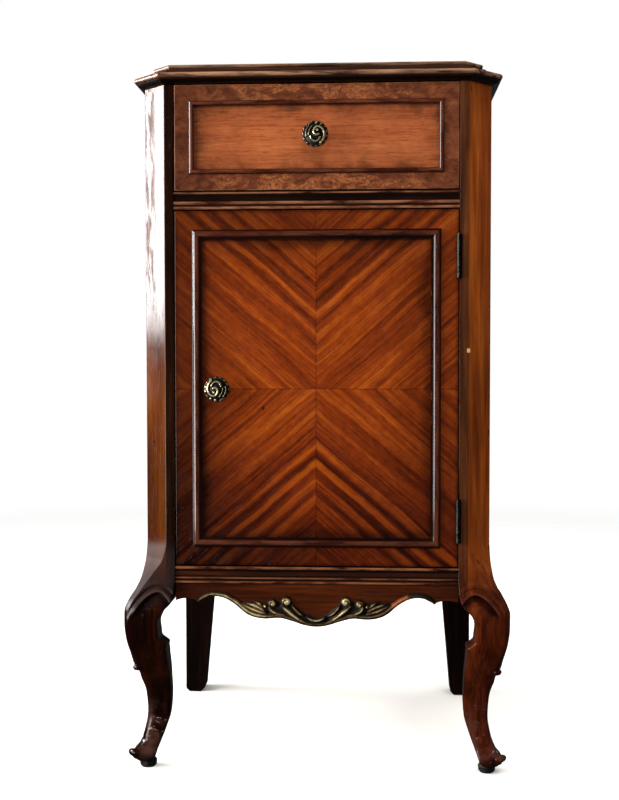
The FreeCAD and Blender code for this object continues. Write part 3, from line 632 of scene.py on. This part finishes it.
def spline_points(points, steps):
    """Points along a smooth curve through the given ones; each is a tuple of any length."""
    result = []
    last = len(points) - 1
    for i in range(last):
        p0, p1, p2, p3 = (points[min(last, max(0, i + k))] for k in (-1, 0, 1, 2))
        for step in range(steps):
            result.append(tuple(between(*values, step / steps) for values in zip(p0, p1, p2, p3)))
    return result + [tuple(points[-1])]


def new_piece(name, vertices, faces, material, body, relief=None):
    """A smooth mesh in the frame's metres that rides on a body."""
    mesh = bpy.data.meshes.new(name)
    mesh.from_pydata(vertices, [], faces)
    mesh.validate()
    mesh.shade_smooth()
    if relief is not None:
        values = mesh.attributes.new("relief", "FLOAT", "POINT")
        values.data.foreach_set("value", relief)
    mesh.materials.append(material)
    piece = bpy.data.objects.new(name, mesh)
    bpy.context.scene.collection.objects.link(piece)
    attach(piece, body)
    return piece


def apply_modifiers(piece):
    graph = bpy.context.evaluated_depsgraph_get()
    mesh = bpy.data.meshes.new_from_object(piece.evaluated_get(graph))
    piece.modifiers.clear()
    piece.data = mesh
    return mesh


def tube_faces(rings, count, flip=False):
    """Quads between closed rings of count points each, with both ends capped."""
    faces = []
    for ring in range(rings - 1):
        for i in range(count):
            j = (i + 1) % count
            a, b = ring * count, (ring + 1) * count
            faces.append((a + i, a + j, b + j, b + i))
    faces.append(tuple(reversed(range(count))))
    faces.append(tuple(range((rings - 1) * count, rings * count)))
    return [tuple(reversed(face)) for face in faces] if flip else faces


# ---------------- cabriole legs

# mm: level, reach of the outer faces beyond the body's planes, reach of the inner faces, cant left on
# the outer corner, rounding of its two arrises, rounding of the other corners
LEG_ROWS = (
    (262.0, 0.0, -36.9, 26.4, 0.8, 0.5),
    (240.0, 0.8, -36.9, 23.0, 0.9, 0.5),
    (222.0, 3.0, -36.9, 13.0, 1.0, 0.6),
    (206.0, 8.0, -36.4, 6.5, 1.2, 1.0),
    (192.0, 15.4, -33.4, 5.0, 1.6, 2.0),
    (180.0, 19.0, -22.5, 4.6, 2.0, 3.0),
    (168.0, 19.6, -18.4, 4.6, 2.4, 4.0),
    (152.0, 18.2, -20.6, 4.8, 2.8, 5.0),
    (132.0, 13.6, -27.6, 5.4, 3.0, 6.0),
    (108.0, 6.0, -30.2, 6.0, 3.2, 7.0),
    (84.0, -1.0, -30.8, 6.2, 3.4, 7.0),
    (62.0, -2.4, -29.4, 6.0, 3.4, 7.0),
    (42.0, 0.6, -23.6, 5.6, 3.2, 6.5),
    (26.0, 6.6, -17.6, 5.2, 2.8, 6.0),
    (18.0, 12.6, -14.6, 5.0, 2.6, 5.0),
    (13.0, 12.2, -13.0, 5.0, 2.6, 5.0),
    (9.0, 8.6, -10.6, 5.0, 2.6, 5.0),
)
# mm: edge of the carved lip on the knee, as (outward from the body's corner, level)
LIP = ((11.5, 167.0), (7.0, 181.0), (-0.5, 192.0), (-8.0, 199.0), (-16.0, 202.8), (-23.0, 202.2),
       (-29.0, 198.0), (-34.0, 192.0))  # fmt: skip
LIP_LINE = spline_points(LIP, 8)
FACE_POINTS, CORNER_POINTS, CANT_POINTS, BACK_POINTS = 44, 6, 4, 8
POST_RINGS = 12


def lip_relief(outward, level):
    """Carving on the knee, in mm: a raised lip above the line, the leg hollowed out beneath it."""
    if not 150 < level < 235:
        return 0.0
    best, side = 1e9, 1.0
    for (a, b), (c, d) in zip(LIP_LINE, LIP_LINE[1:]):
        t = ((outward - a) * (c - a) + (level - b) * (d - b)) / ((c - a) ** 2 + (d - b) ** 2)
        t = min(1.0, max(0.0, t))
        gap_x, gap_z = outward - a - t * (c - a), level - b - t * (d - b)
        gap = math.hypot(gap_x, gap_z)
        if gap < best:
            best = gap
            side = 1.0 if (c - a) * gap_z - (d - b) * gap_x < 0 else -1.0
    distance = best * side
    fade = smoothstep(level, 168, 188)
    edge = smoothstep(distance, -0.7, 0.7)
    lip = 2.4 * math.exp(-((max(distance, 0.0) / 4.2) ** 2))
    groove = -1.0 * hump(distance, 6.2, 1.3) + 0.9 * hump(distance, 9.5, 3.0)
    hollow = -2.4 * math.exp(-((min(distance, 0.0) / 10.0) ** 2))
    return fade * (edge * (lip + groove) + (1 - edge) * hollow)


def rounded(corner, before, after, radius, count):
    """Points round a corner, from its arriving edge to its leaving edge."""
    reach_in = min(radius, 0.49 * (before - corner).length)
    reach_out = min(radius, 0.49 * (after - corner).length)
    start = corner + (before - corner).normalized() * reach_in
    end = corner + (after - corner).normalized() * reach_out
    points = []
    for i in range(count):
        t = i / (count - 1)
        points.append(start * (1 - t) ** 2 + corner * 2 * t * (1 - t) + end * t**2)
    return points


def leg_ring(level):
    """Section of the right leg at a level: mm outward to the side and to the front, with its relief."""
    outer, inner, cant, arris, soft = (cubic(LEG_ROWS, level, k) for k in range(1, 6))
    corners = [
        Vector((inner, outer)),
        Vector((outer - cant, outer)),
        Vector((outer, outer - cant)),
        Vector((outer, inner)),
        Vector((inner, inner)),
    ]
    radii = (soft, arris, arris, soft, 2.4 * soft)
    runs = (FACE_POINTS, CANT_POINTS, FACE_POINTS, BACK_POINTS, BACK_POINTS)
    arcs = [
        rounded(corners[k], corners[k - 1], corners[(k + 1) % 5], radii[k], CORNER_POINTS)
        for k in range(5)
    ]
    points = []
    for k in range(5):
        points += arcs[k]
        start, end = arcs[k][-1], arcs[(k + 1) % 5][0]
        points += [start.lerp(end, i / (runs[k] + 1)) for i in range(1, runs[k] + 1)]
    middle = Vector(((outer + inner) / 2, (outer + inner) / 2))
    ring = []
    for point in points:
        side, front = point
        facing_front = smoothstep(front - side, 0.0, 4.0) * smoothstep(front, middle.y, outer)
        facing_side = smoothstep(side - front, 0.0, 4.0) * smoothstep(side, middle.x, outer)
        on_front = lip_relief(side, level) * facing_front
        on_side = lip_relief(front, level) * facing_side
        point, knot = leg_knots(point + Vector((on_side, on_front)), level, outer, inner)
        ring.append((point, on_front + on_side + knot))
    return ring


def leg_knots(point, level, outer, inner):
    """Swellings of the section: at the outer arris under the ball and at the toe, and an ear on each
    inner face below the knee."""
    out = Vector((1.0, 1.0)).normalized()
    reach = (point - Vector((outer, outer))).length
    swell = 1.4 * hump(level, 121.0, 6.0) - 1.5 * hump(level, 108.0, 4.0)
    swell += 1.8 * hump(level, 20.0, 5.0) - 1.8 * hump(level, 31.0, 4.0)
    swell *= hump(reach, 3.0, 8.0)
    point = point + out * swell
    ear = 4.6 * hump(level, 144.0, 4.0) + 1.2 * hump(level, 137.0, 6.0) - 0.8 * hump(level, 152.0, 4.0)
    for axis, depth in ((Vector((1.0, 0.0)), point.x - inner), (Vector((0.0, 1.0)), point.y - inner)):
        point = point - axis * ear * hump(depth, 0.0, 4.0)
    return point, swell * 0.4


# mm: level, offset outward from the middle of the cant, half sizes across, outward and upward
BEADS = ((116.5, 1.4, 5.4, 3.8, 3.7), (19.6, 0.8, 8.6, 4.6, 4.4))
BEAD_RINGS, BEAD_SEGMENTS = 12, 24
# m: the hinge leaves let into the right post, and how far a housing's box stands out of the wood
HINGE_LENGTH, LEAF_THICKNESS, HOUSING_MOUTH = 0.048, 0.0012, 0.001
BOX_FACES = ((0, 2, 3, 1), (4, 5, 7, 6), (0, 1, 5, 4), (2, 6, 7, 3), (0, 4, 6, 2), (1, 3, 7, 5))


def leg_bead(level, offset, half_across, half_out, half_up):
    """A smooth egg on the outer arris: the ball below the knee, or the rolled end of the toe."""
    outer, cant = cubic(LEG_ROWS, level, 1), cubic(LEG_ROWS, level, 3)
    middle = outer - cant / 2 + offset / math.sqrt(2)
    points = []
    for ring in range(BEAD_RINGS):
        latitude = math.pi * (ring + 0.5) / BEAD_RINGS
        for i in range(BEAD_SEGMENTS):
            angle = 2 * math.pi * i / BEAD_SEGMENTS
            across = half_across * math.cos(latitude) / math.sqrt(2)
            out = half_out * math.sin(latitude) * math.cos(angle) / math.sqrt(2)
            up = half_up * math.sin(latitude) * math.sin(angle)
            points.append((middle + out + across, middle + out - across, level + up))
    return points


def leg_levels():
    """Levels of the rings, in mm: close together on the carved leg, far apart on the post."""
    foot, post, top = LEG_ROWS[-1][0], LEG_ROWS[0][0], POST_TOP / MM
    carved = [foot + i for i in range(int(post - foot) + 1)]
    plain = [post + (top - 1.0 - post) * (i + 1) / POST_RINGS for i in range(POST_RINGS)]
    return carved + plain + [top]


def hinge_housings():
    """Boxes of the two post leaves, open towards the door and the front."""
    low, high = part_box("hinge_post_leaves")
    x = (OPENING - HOUSING_MOUTH, OPENING + LEAF_THICKNESS)
    y = (FRONT - HOUSING_MOUTH, high.y)
    spans = ((low.z, low.z + HINGE_LENGTH), (high.z - HINGE_LENGTH, high.z))
    return [(Vector((x[0], y[0], z[0])), Vector((x[1], y[1], z[1]))) for z in spans]


def strike_housing():
    """Box of the catch's plate, open towards the door."""
    low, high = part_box("strike_plate")
    return [(low, Vector((high.x + HOUSING_MOUTH, high.y, high.z)))]


def let_in(piece, housings):
    """Cuts the housings of metal plates out of a piece."""
    cutters = []
    for low, high in housings:
        mesh = bpy.data.meshes.new("housing")
        corners = [(x, y, z) for z in (low.z, high.z) for y in (low.y, high.y) for x in (low.x, high.x)]
        mesh.from_pydata(corners, [], BOX_FACES)
        cutters.append(bpy.data.objects.new("housing", mesh))
        bpy.context.scene.collection.objects.link(cutters[-1])
        cut = piece.modifiers.new("housing", "BOOLEAN")
        cut.object = cutters[-1]
        cut.solver = "EXACT"
    apply_modifiers(piece)
    for cutter in cutters:
        bpy.data.objects.remove(cutter)


def build_legs(material):
    levels = leg_levels()
    rings = [leg_ring(level) for level in levels]
    for side, sign in (("left", -1), ("right", 1)):
        vertices, relief = [], []
        for level, ring in zip(levels, rings):
            for (outward, forward), height in ring:
                x = sign * (HALF_WIDTH + outward * MM)
                vertices.append((x, FRONT - forward * MM, level * MM))
                relief.append(height)
        faces = tube_faces(len(levels), len(rings[0]), flip=sign > 0)
        for bead in BEADS:
            start = len(vertices)
            for outward, forward, level in leg_bead(*bead):
                vertices.append((sign * (HALF_WIDTH + outward * MM), FRONT - forward * MM, level * MM))
                relief.append(0.0)
            shell = tube_faces(BEAD_RINGS, BEAD_SEGMENTS, flip=sign < 0)
            faces += [tuple(start + i for i in face) for face in shell]
        name = "carved_leg_" + side
        piece = new_piece(name, vertices, faces, material, "carcass", relief)
        let_in(piece, strike_housing() if sign < 0 else hinge_housings())
        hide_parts("front_leg_" + side)


# ---------------- apron border

# mm: ribbons of the right half as (x, z, half width, height)
BAND = (
    (0, 166.4, 2.4, 4.0), (12, 167.8, 2.6, 4.2), (26, 172.4, 2.8, 4.4), (41, 176.2, 3.0, 4.4),
    (60, 175.6, 3.2, 4.6), (76, 180.0, 3.6, 4.6), (92, 192.2, 3.2, 4.4), (106, 199.2, 3.0, 4.2),
    (120, 200.0, 2.8, 4.0), (130, 195.4, 2.4, 3.4), (134.6, 191.0, 1.2, 2.0),
)  # fmt: skip
GROUND = (
    (-1, 171.6, 3.4, 1.3), (8, 172.6, 3.8, 1.3), (19, 176.0, 6.0, 1.4), (34, 182.5, 9.5, 1.4),
    (50, 183.0, 9.0, 1.4), (66, 184.0, 7.0, 1.4), (80, 187.5, 4.0, 1.3), (90, 191.0, 1.5, 1.0),
)  # fmt: skip
RIBBONS = (
    ((39.5, 188, 1.6, 4.0), (35.5, 184.5, 3.2, 5.2), (30, 180, 3.8, 5.6), (23, 174.6, 3.4, 5.4),
     (16, 170.4, 2.2, 4.8), (10.5, 168.4, 0.9, 3.6)),
    ((27.5, 190, 0.8, 2.8), (24.5, 184.5, 1.8, 4.6), (19.5, 179.5, 2.0, 4.8), (14, 175.8, 0.9, 3.2)),
    ((53.5, 186.5, 1.8, 4.2), (50.5, 181.8, 3.2, 5.2), (44.5, 178.8, 3.2, 5.0), (37, 177.2, 1.8, 4.2),
     (31, 175.6, 0.9, 3.0)),
    ((58, 181, 1.4, 3.6), (65, 185.4, 2.5, 5.0), (73, 188.6, 2.1, 4.6), (82, 190.8, 0.8, 2.6)),
    ((57, 178.4, 1.6, 3.8), (67, 181.4, 2.6, 5.0), (76, 185.2, 2.3, 4.6), (86, 190.2, 0.9, 2.8)),
    ((60, 184.6, 0.9, 3.0), (64.5, 189.6, 1.9, 4.4), (71, 193.2, 0.8, 2.4)),
)  # fmt: skip
SHELL = (
    (-11, 175.8, 0.9, 3.4), (-6.5, 172.6, 2.0, 5.0), (0, 171.0, 2.5, 5.4), (6.5, 172.6, 2.0, 5.0),
    (11, 175.8, 0.9, 3.4),
)  # fmt: skip
# mm: x, z, radius, height
SCROLL_HEADS = ((33.6, 192.2, 6.6, 5.8), (49.4, 189.8, 5.6, 5.4), (58.0, 186.8, 3.0, 4.6))
SCROLL_GROOVE, SCROLL_TURNS = 2.8, 1.15
SHAPE_POINTS = 17  # across a ribbon
CARVING_SINK = 1.0  # mm that the carving's back goes into the board
CREST_HEIGHT = 5.3  # mm of lift that counts as the top of the relief
CARVING_VOXEL = 0.00042


def ribbon(points, sign):
    """A domed strip along a curve, closed by a flat back that is sunk into the board."""
    line = spline_points(points, 6)
    vertices = []
    for i, (x, z, half, height) in enumerate(line):
        before, after = line[max(0, i - 1)], line[min(len(line) - 1, i + 1)]
        run = Vector((after[0] - before[0], after[1] - before[1])).normalized()
        across = Vector((-run.y, run.x))
        for k in range(SHAPE_POINTS):
            angle = math.pi * k / (SHAPE_POINTS - 1)
            offset = -half * math.cos(angle)
            flutes = hump(angle, 0.33 * math.pi, 0.26) + hump(angle, 0.67 * math.pi, 0.26)
            lift = height * math.sin(angle) * (1 - 0.3 * flutes * smoothstep(half, 1.6, 2.8))
            lift = lift if 0 < k < SHAPE_POINTS - 1 else -CARVING_SINK
            vertices.append((sign * (x + across.x * offset), lift, z + across.y * offset))
    return vertices, tube_faces(len(line), SHAPE_POINTS, flip=sign > 0)


def scroll_head(x, z, radius, height, sign):
    """A rounded boss with a spiral groove, the curled end of a scroll."""
    rings, count = 12, 36
    vertices = []
    for ring in range(rings + 1):
        r = radius * (1 - ring / rings)
        dome = height * math.sqrt(max(0.0, 1 - (r / radius) ** 2))
        for i in range(count):
            angle = 2 * math.pi * i / count
            turn = (angle + 2 * math.pi * SCROLL_TURNS * r / radius) % (2 * math.pi)
            fade = smoothstep(r, 0.5, 1.8) * smoothstep(radius - r, 0.0, 0.8)
            groove = SCROLL_GROOVE * hump(turn, math.pi, 0.7) * fade
            lift = -CARVING_SINK if ring == 0 else dome - groove
            vertices.append((sign * (x + r * math.cos(angle)), lift, z + r * math.sin(angle)))
    return vertices, tube_faces(rings + 1, count, flip=sign < 0)


def build_carving(material):
    """Every ribbon and boss of the border, melted into one carved relief."""
    parts = []
    for sign in (1, -1):
        parts += [ribbon(points, sign) for points in (BAND, GROUND, *RIBBONS)]
        parts += [scroll_head(*head, sign) for head in SCROLL_HEADS]
    parts.append(ribbon(SHELL, 1))
    vertices, faces = [], []
    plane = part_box("apron_carving")[1].y
    for points, polygons in parts:
        start = len(vertices)
        vertices += [(x * MM, plane - lift * MM, z * MM) for x, lift, z in points]
        faces += [tuple(start + i for i in face) for face in polygons]
    piece = new_piece("carved_border", vertices, faces, material, "carcass")
    melt = piece.modifiers.new("melt", "REMESH")
    melt.mode = "VOXEL"
    melt.voxel_size = CARVING_VOXEL
    soften = piece.modifiers.new("soften", "SMOOTH")
    soften.factor = 0.5
    soften.iterations = 1
    carved = apply_modifiers(piece)
    carved.shade_smooth()
    relief = carved.attributes.new("relief", "FLOAT", "POINT")
    values = [(plane - vertex.co.y) / MM / CREST_HEIGHT for vertex in carved.vertices]
    relief.data.foreach_set("value", values)
    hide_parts("apron_carving")


# ---------------- knobs

KNOB_RINGS, KNOB_SEGMENTS = 36, 144
# mm from the seat forwards: (radius, reach) of the knob's back, neck and seat ring
KNOB_BACK = ((14.0, 17.4), (13.2, 16.6), (9.0, 15.6), (5.4, 14.0), (4.6, 10.0), (4.9, 5.0), (6.4, 3.2),
             (8.0, 2.4), (8.4, 1.4), (8.2, 0.2))  # fmt: skip
KNOB_RIM_Y, KNOB_DOME, KNOB_RELIEF = 16.6, 4.6, 2.4  # mm: reach at the rim, rise to the middle, ridges
KNOB_NOTCHES = 15
KNOB_BACK_TONE = 0.35
# Ridges of the cast face in units of its radius, x to the side and z up: (points, half width, height)
KNOB_RIDGES = (
    (((0.27, -0.07), (0.07, -0.13), (-0.10, 0.05), (-0.06, 0.33), (0.18, 0.52), (0.50, 0.40),
      (0.70, 0.04), (0.64, -0.38), (0.42, -0.70)), 0.105, 1.0),
    (((0.17, 0.25), (0.19, 0.23)), 0.13, 1.0),
    (((-0.36, -0.22), (-0.24, -0.48), (0.0, -0.60), (0.24, -0.52), (0.40, -0.28)), 0.09, 0.9),
    (((-0.22, 0.58), (-0.42, 0.28), (-0.50, -0.10)), 0.065, 0.8),
    (((-0.50, 0.58), (-0.69, 0.22), (-0.70, -0.22)), 0.065, 0.8),
    (((-0.48, 0.74), (-0.38, 0.80)), 0.10, 0.8),
    (((0.08, 0.82), (0.14, 0.88)), 0.11, 0.9),
    (((0.44, 0.70), (0.50, 0.76)), 0.10, 0.8),
    (((0.84, 0.20), (0.84, -0.22)), 0.07, 0.7),
)  # fmt: skip
KNOB_LINES = [(spline_points(points, 8), half, height) for points, half, height in KNOB_RIDGES]


def knob_face(radius, angle, size):
    """Height and brightness of the cast face: a curled ridge among crescents, in a notched rim."""
    r = radius / size
    x, z = r * math.cos(angle), r * math.sin(angle)
    ridge = 0.0
    for line, half, height in KNOB_LINES:
        gap = min(math.hypot(x - a, z - b) for a, b in line) / half
        ridge = max(ridge, height * math.sqrt(max(0.0, 1 - gap**2)))
    notch = 0.5 + 0.5 * math.cos(KNOB_NOTCHES * angle)
    rim = hump(r, 0.93, 0.06) * (1.0 - 0.55 * notch)
    height = KNOB_RIM_Y + KNOB_DOME * (1 - r**2) + KNOB_RELIEF * max(ridge, 0.7 * rim)
    return height, min(1.0, 0.05 + 0.95 * max(ridge, 0.85 * rim) ** 1.5)


def build_knob(node, body, material, turn):
    """A cast knob in the place of a CAD knob, with its face turned about its axis."""
    low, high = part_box(node)
    centre_x, centre_z = (low.x + high.x) / 2, (low.z + high.z) / 2
    size = (high.x - low.x) / 2 / MM
    reach = (high.y - low.y) / MM
    angles = [2 * math.pi * i / KNOB_SEGMENTS for i in range(KNOB_SEGMENTS)]
    rows = []
    for ring in range(1, KNOB_RINGS + 1):
        radius = size * ring / KNOB_RINGS
        rows.append([(radius, *knob_face(radius, angle, size)) for angle in angles])
    for radius, forward in spline_points(KNOB_BACK, 3):
        rows.append([(radius, forward, KNOB_BACK_TONE)] * KNOB_SEGMENTS)
    centre = knob_face(0.0, 0.0, size)
    top = max(forward for row in rows for _, forward, _ in row)
    vertices, relief = [(centre_x, high.y - min(centre[0], reach) * MM, centre_z)], [centre[1]]
    for row in rows:
        for angle, (radius, forward, bright) in zip(angles, row):
            x = centre_x + radius * math.cos(angle + turn) * MM
            z = centre_z + radius * math.sin(angle + turn) * MM
            vertices.append((x, high.y - forward * MM * reach / max(top, reach), z))
            relief.append(bright)
    faces = [(0, 1 + (i + 1) % KNOB_SEGMENTS, 1 + i) for i in range(KNOB_SEGMENTS)]
    faces += [
        tuple(v + 1 for v in face)
        for face in tube_faces(len(rows), KNOB_SEGMENTS, flip=True)
        if len(face) == 4
    ]
    last = 1 + (len(rows) - 1) * KNOB_SEGMENTS
    faces.append(tuple(range(last, last + KNOB_SEGMENTS)))
    piece = new_piece("cast_" + node, vertices, faces, material, body, relief)
    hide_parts(node)


# ---------------- finishes on the CAD pieces


def dress_nodes():
    """Every CAD piece gets the finish of the wood or metal that it is made of."""
    body_tones = ("34160A", "5E2B10", "7E411A")
    dark_tones = ("140502", "2E0F06", "4E2010")
    finishes = {
        ("door_panel",): striped_veneer(),
        ("drawer_front",): drawer_veneer(),
        ("top_board", "cornice_front", "cornice_back", "cornice_corner"): top_wood("top_dark", "X"),
        ("cornice_side",): top_wood("top_dark_side", "Y"),
        ("side_panel",): mahogany("mahogany_side", "Z", *body_tones),
        ("back_leg",): back_leg_wood(*body_tones),
        ("back_panel", "back_rail"): mahogany("back_wood", "Z", "3A2416", "553722", "6E4B30", 0.5),
        ("mid_rail",): moulding_wood(
            "mid_rail_wood", "X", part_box("mid_rail")[0].y, "180904", "2E1208", "48200F", "8C5C40"
        ),
        ("bottom_rail",): moulding_wood(
            "bottom_rail_wood", "X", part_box("bottom_rail")[0].y, "160804", "2A1006", "421D0B", "885433"
        ),
        ("apron",): mahogany("apron_wood", "X", "180601", "301002", "461A04"),
        ("drawer_bead_top", "drawer_bead_bottom"): moulding_wood(
            "bead_wood_x", "X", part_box("drawer_bead_top")[0].y, *dark_tones, "603220"
        ),
        ("drawer_bead_left", "drawer_bead_right"): moulding_wood(
            "bead_wood_z", "Z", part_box("drawer_bead_left")[0].y, *dark_tones, "603220"
        ),
        ("door_moulding_top", "door_moulding_bottom"): moulding_wood(
            "moulding_wood_x", "X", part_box("door_moulding_top")[0].y, *dark_tones, "542C1C"
        ),
        ("door_moulding_left", "door_moulding_right"): moulding_wood(
            "moulding_wood_z", "Z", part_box("door_moulding_left")[0].y, *dark_tones, "542C1C"
        ),
        ("foot_pad",): pad_finish(),
        ("hinge", "strike_plate"): plain_metal("steel", "14130F", "4A4742", 0.32),
        ("drawer_knob_screw", "door_knob_screw", "catch"): plain_metal(
            "plain_brass", "6A5228", "B08A48", 0.3
        ),
    }
    inside = pale_wood()
    for name, node in NODES.items():
        found = [material for keys, material in finishes.items() if name.startswith(keys)]
        node.data.materials.clear()
        node.data.materials.append(found[0] if found else inside)


# ---------------- floor, light and camera


def stage_floor():
    """A wide round floor."""
    count, radius = 64, 9.0
    vertices = [
        (radius * math.cos(2 * math.pi * i / count), radius * math.sin(2 * math.pi * i / count), 0.0)
        for i in range(count)
    ]
    mesh = bpy.data.meshes.new("floor")
    mesh.from_pydata(vertices, [], [tuple(range(count))])
    mesh.materials.append(floor_finish())
    floor = bpy.data.objects.new("floor", mesh)
    bpy.context.scene.collection.objects.link(floor)
    floor.visible_glossy = False
    floor.visible_diffuse = False


def area_light(name, place, target, size, power, mirrored=True):
    """A soft rectangular light that faces its target; unless mirrored, no polish shows it."""
    light = bpy.data.lights.new(name, "AREA")
    light.shape = "RECTANGLE"
    light.size, light.size_y = size
    light.energy = power
    lamp = bpy.data.objects.new(name, light)
    lamp.location = place
    lamp.visible_glossy = mirrored
    lamp.rotation_euler = (Vector(target) - Vector(place)).to_track_quat("-Z", "Y").to_euler()
    bpy.context.scene.collection.objects.link(lamp)


def studio():
    """A white room as the camera sees it, dimmer towards the floor for diffuse rays and almost dark for
    the rest. The lights are a window at the left, a wide panel ahead of it, and three soft fills."""
    world = bpy.data.worlds.new("studio")
    bpy.context.scene.world = world
    world.use_nodes = True
    nodes, links = world.node_tree.nodes, world.node_tree.links
    nodes.clear()
    axes = nodes.new("ShaderNodeSeparateXYZ")
    links.new(nodes.new("ShaderNodeTexCoord").outputs["Generated"], axes.inputs[0])
    height = nodes.new("ShaderNodeMapRange")
    links.new(axes.outputs["Z"], height.inputs["Value"])
    for name, number in (("From Min", -0.2), ("From Max", 0.3), ("To Min", 0.2), ("To Max", 1.0)):
        height.inputs[name].default_value = number
    path = nodes.new("ShaderNodeLightPath")
    shader = None
    for ray, strength in ((None, 0.05), ("Is Diffuse Ray", height.outputs[0]), ("Is Camera Ray", 1.0)):
        background = nodes.new("ShaderNodeBackground")
        background.inputs["Color"].default_value = linear("FFFFFF")
        if ray == "Is Diffuse Ray":
            links.new(strength, background.inputs["Strength"])
        else:
            background.inputs["Strength"].default_value = strength
        if shader:
            choose = nodes.new("ShaderNodeMixShader")
            links.new(path.outputs[ray], choose.inputs[0])
            links.new(shader, choose.inputs[1])
            links.new(background.outputs[0], choose.inputs[2])
            shader = choose.outputs[0]
        else:
            shader = background.outputs[0]
    output = nodes.new("ShaderNodeOutputWorld")
    links.new(shader, output.inputs["Surface"])
    area_light("window", (-1.65, 0.15, 0.89), (0.0, 0.15, 0.89), (0.6, 0.7), 46.0)
    area_light("side_panel", (-1.5, -0.8, 0.6), (0.0, -0.2, 0.6), (0.9, 1.1), 40.0)
    area_light("left", (-1.9, -1.5, 1.3), (0.0, -0.1, 0.6), (1.2, 1.2), 16.0, False)
    area_light("front_fill", (0.5, -2.4, 2.2), (0.0, 0.0, 0.4), (2.0, 1.2), 44.0, False)
    area_light("ceiling", (0.0, 0.0, 2.6), (0.0, 0.0, 0.0), (2.4, 2.4), 34.0, False)


def camera():
    lens = bpy.data.cameras.new("camera")
    lens.lens = CAMERA_LENS
    lens.clip_start = 0.05
    viewer = bpy.data.objects.new("camera", lens)
    viewer.location = CAMERA_PLACE
    viewer.rotation_euler = CAMERA_TURN
    bpy.context.scene.collection.objects.link(viewer)
    bpy.context.scene.camera = viewer


dress_nodes()
build_legs(leg_wood())
build_carving(gilt_finish())
brass = antique_brass()
build_knob("drawer_knob", "drawer", brass, 0.0)
build_knob("door_knob", "door", brass, math.pi)
stage_floor()
studio()
camera()
bpy.context.scene.view_settings.view_transform = "Standard"
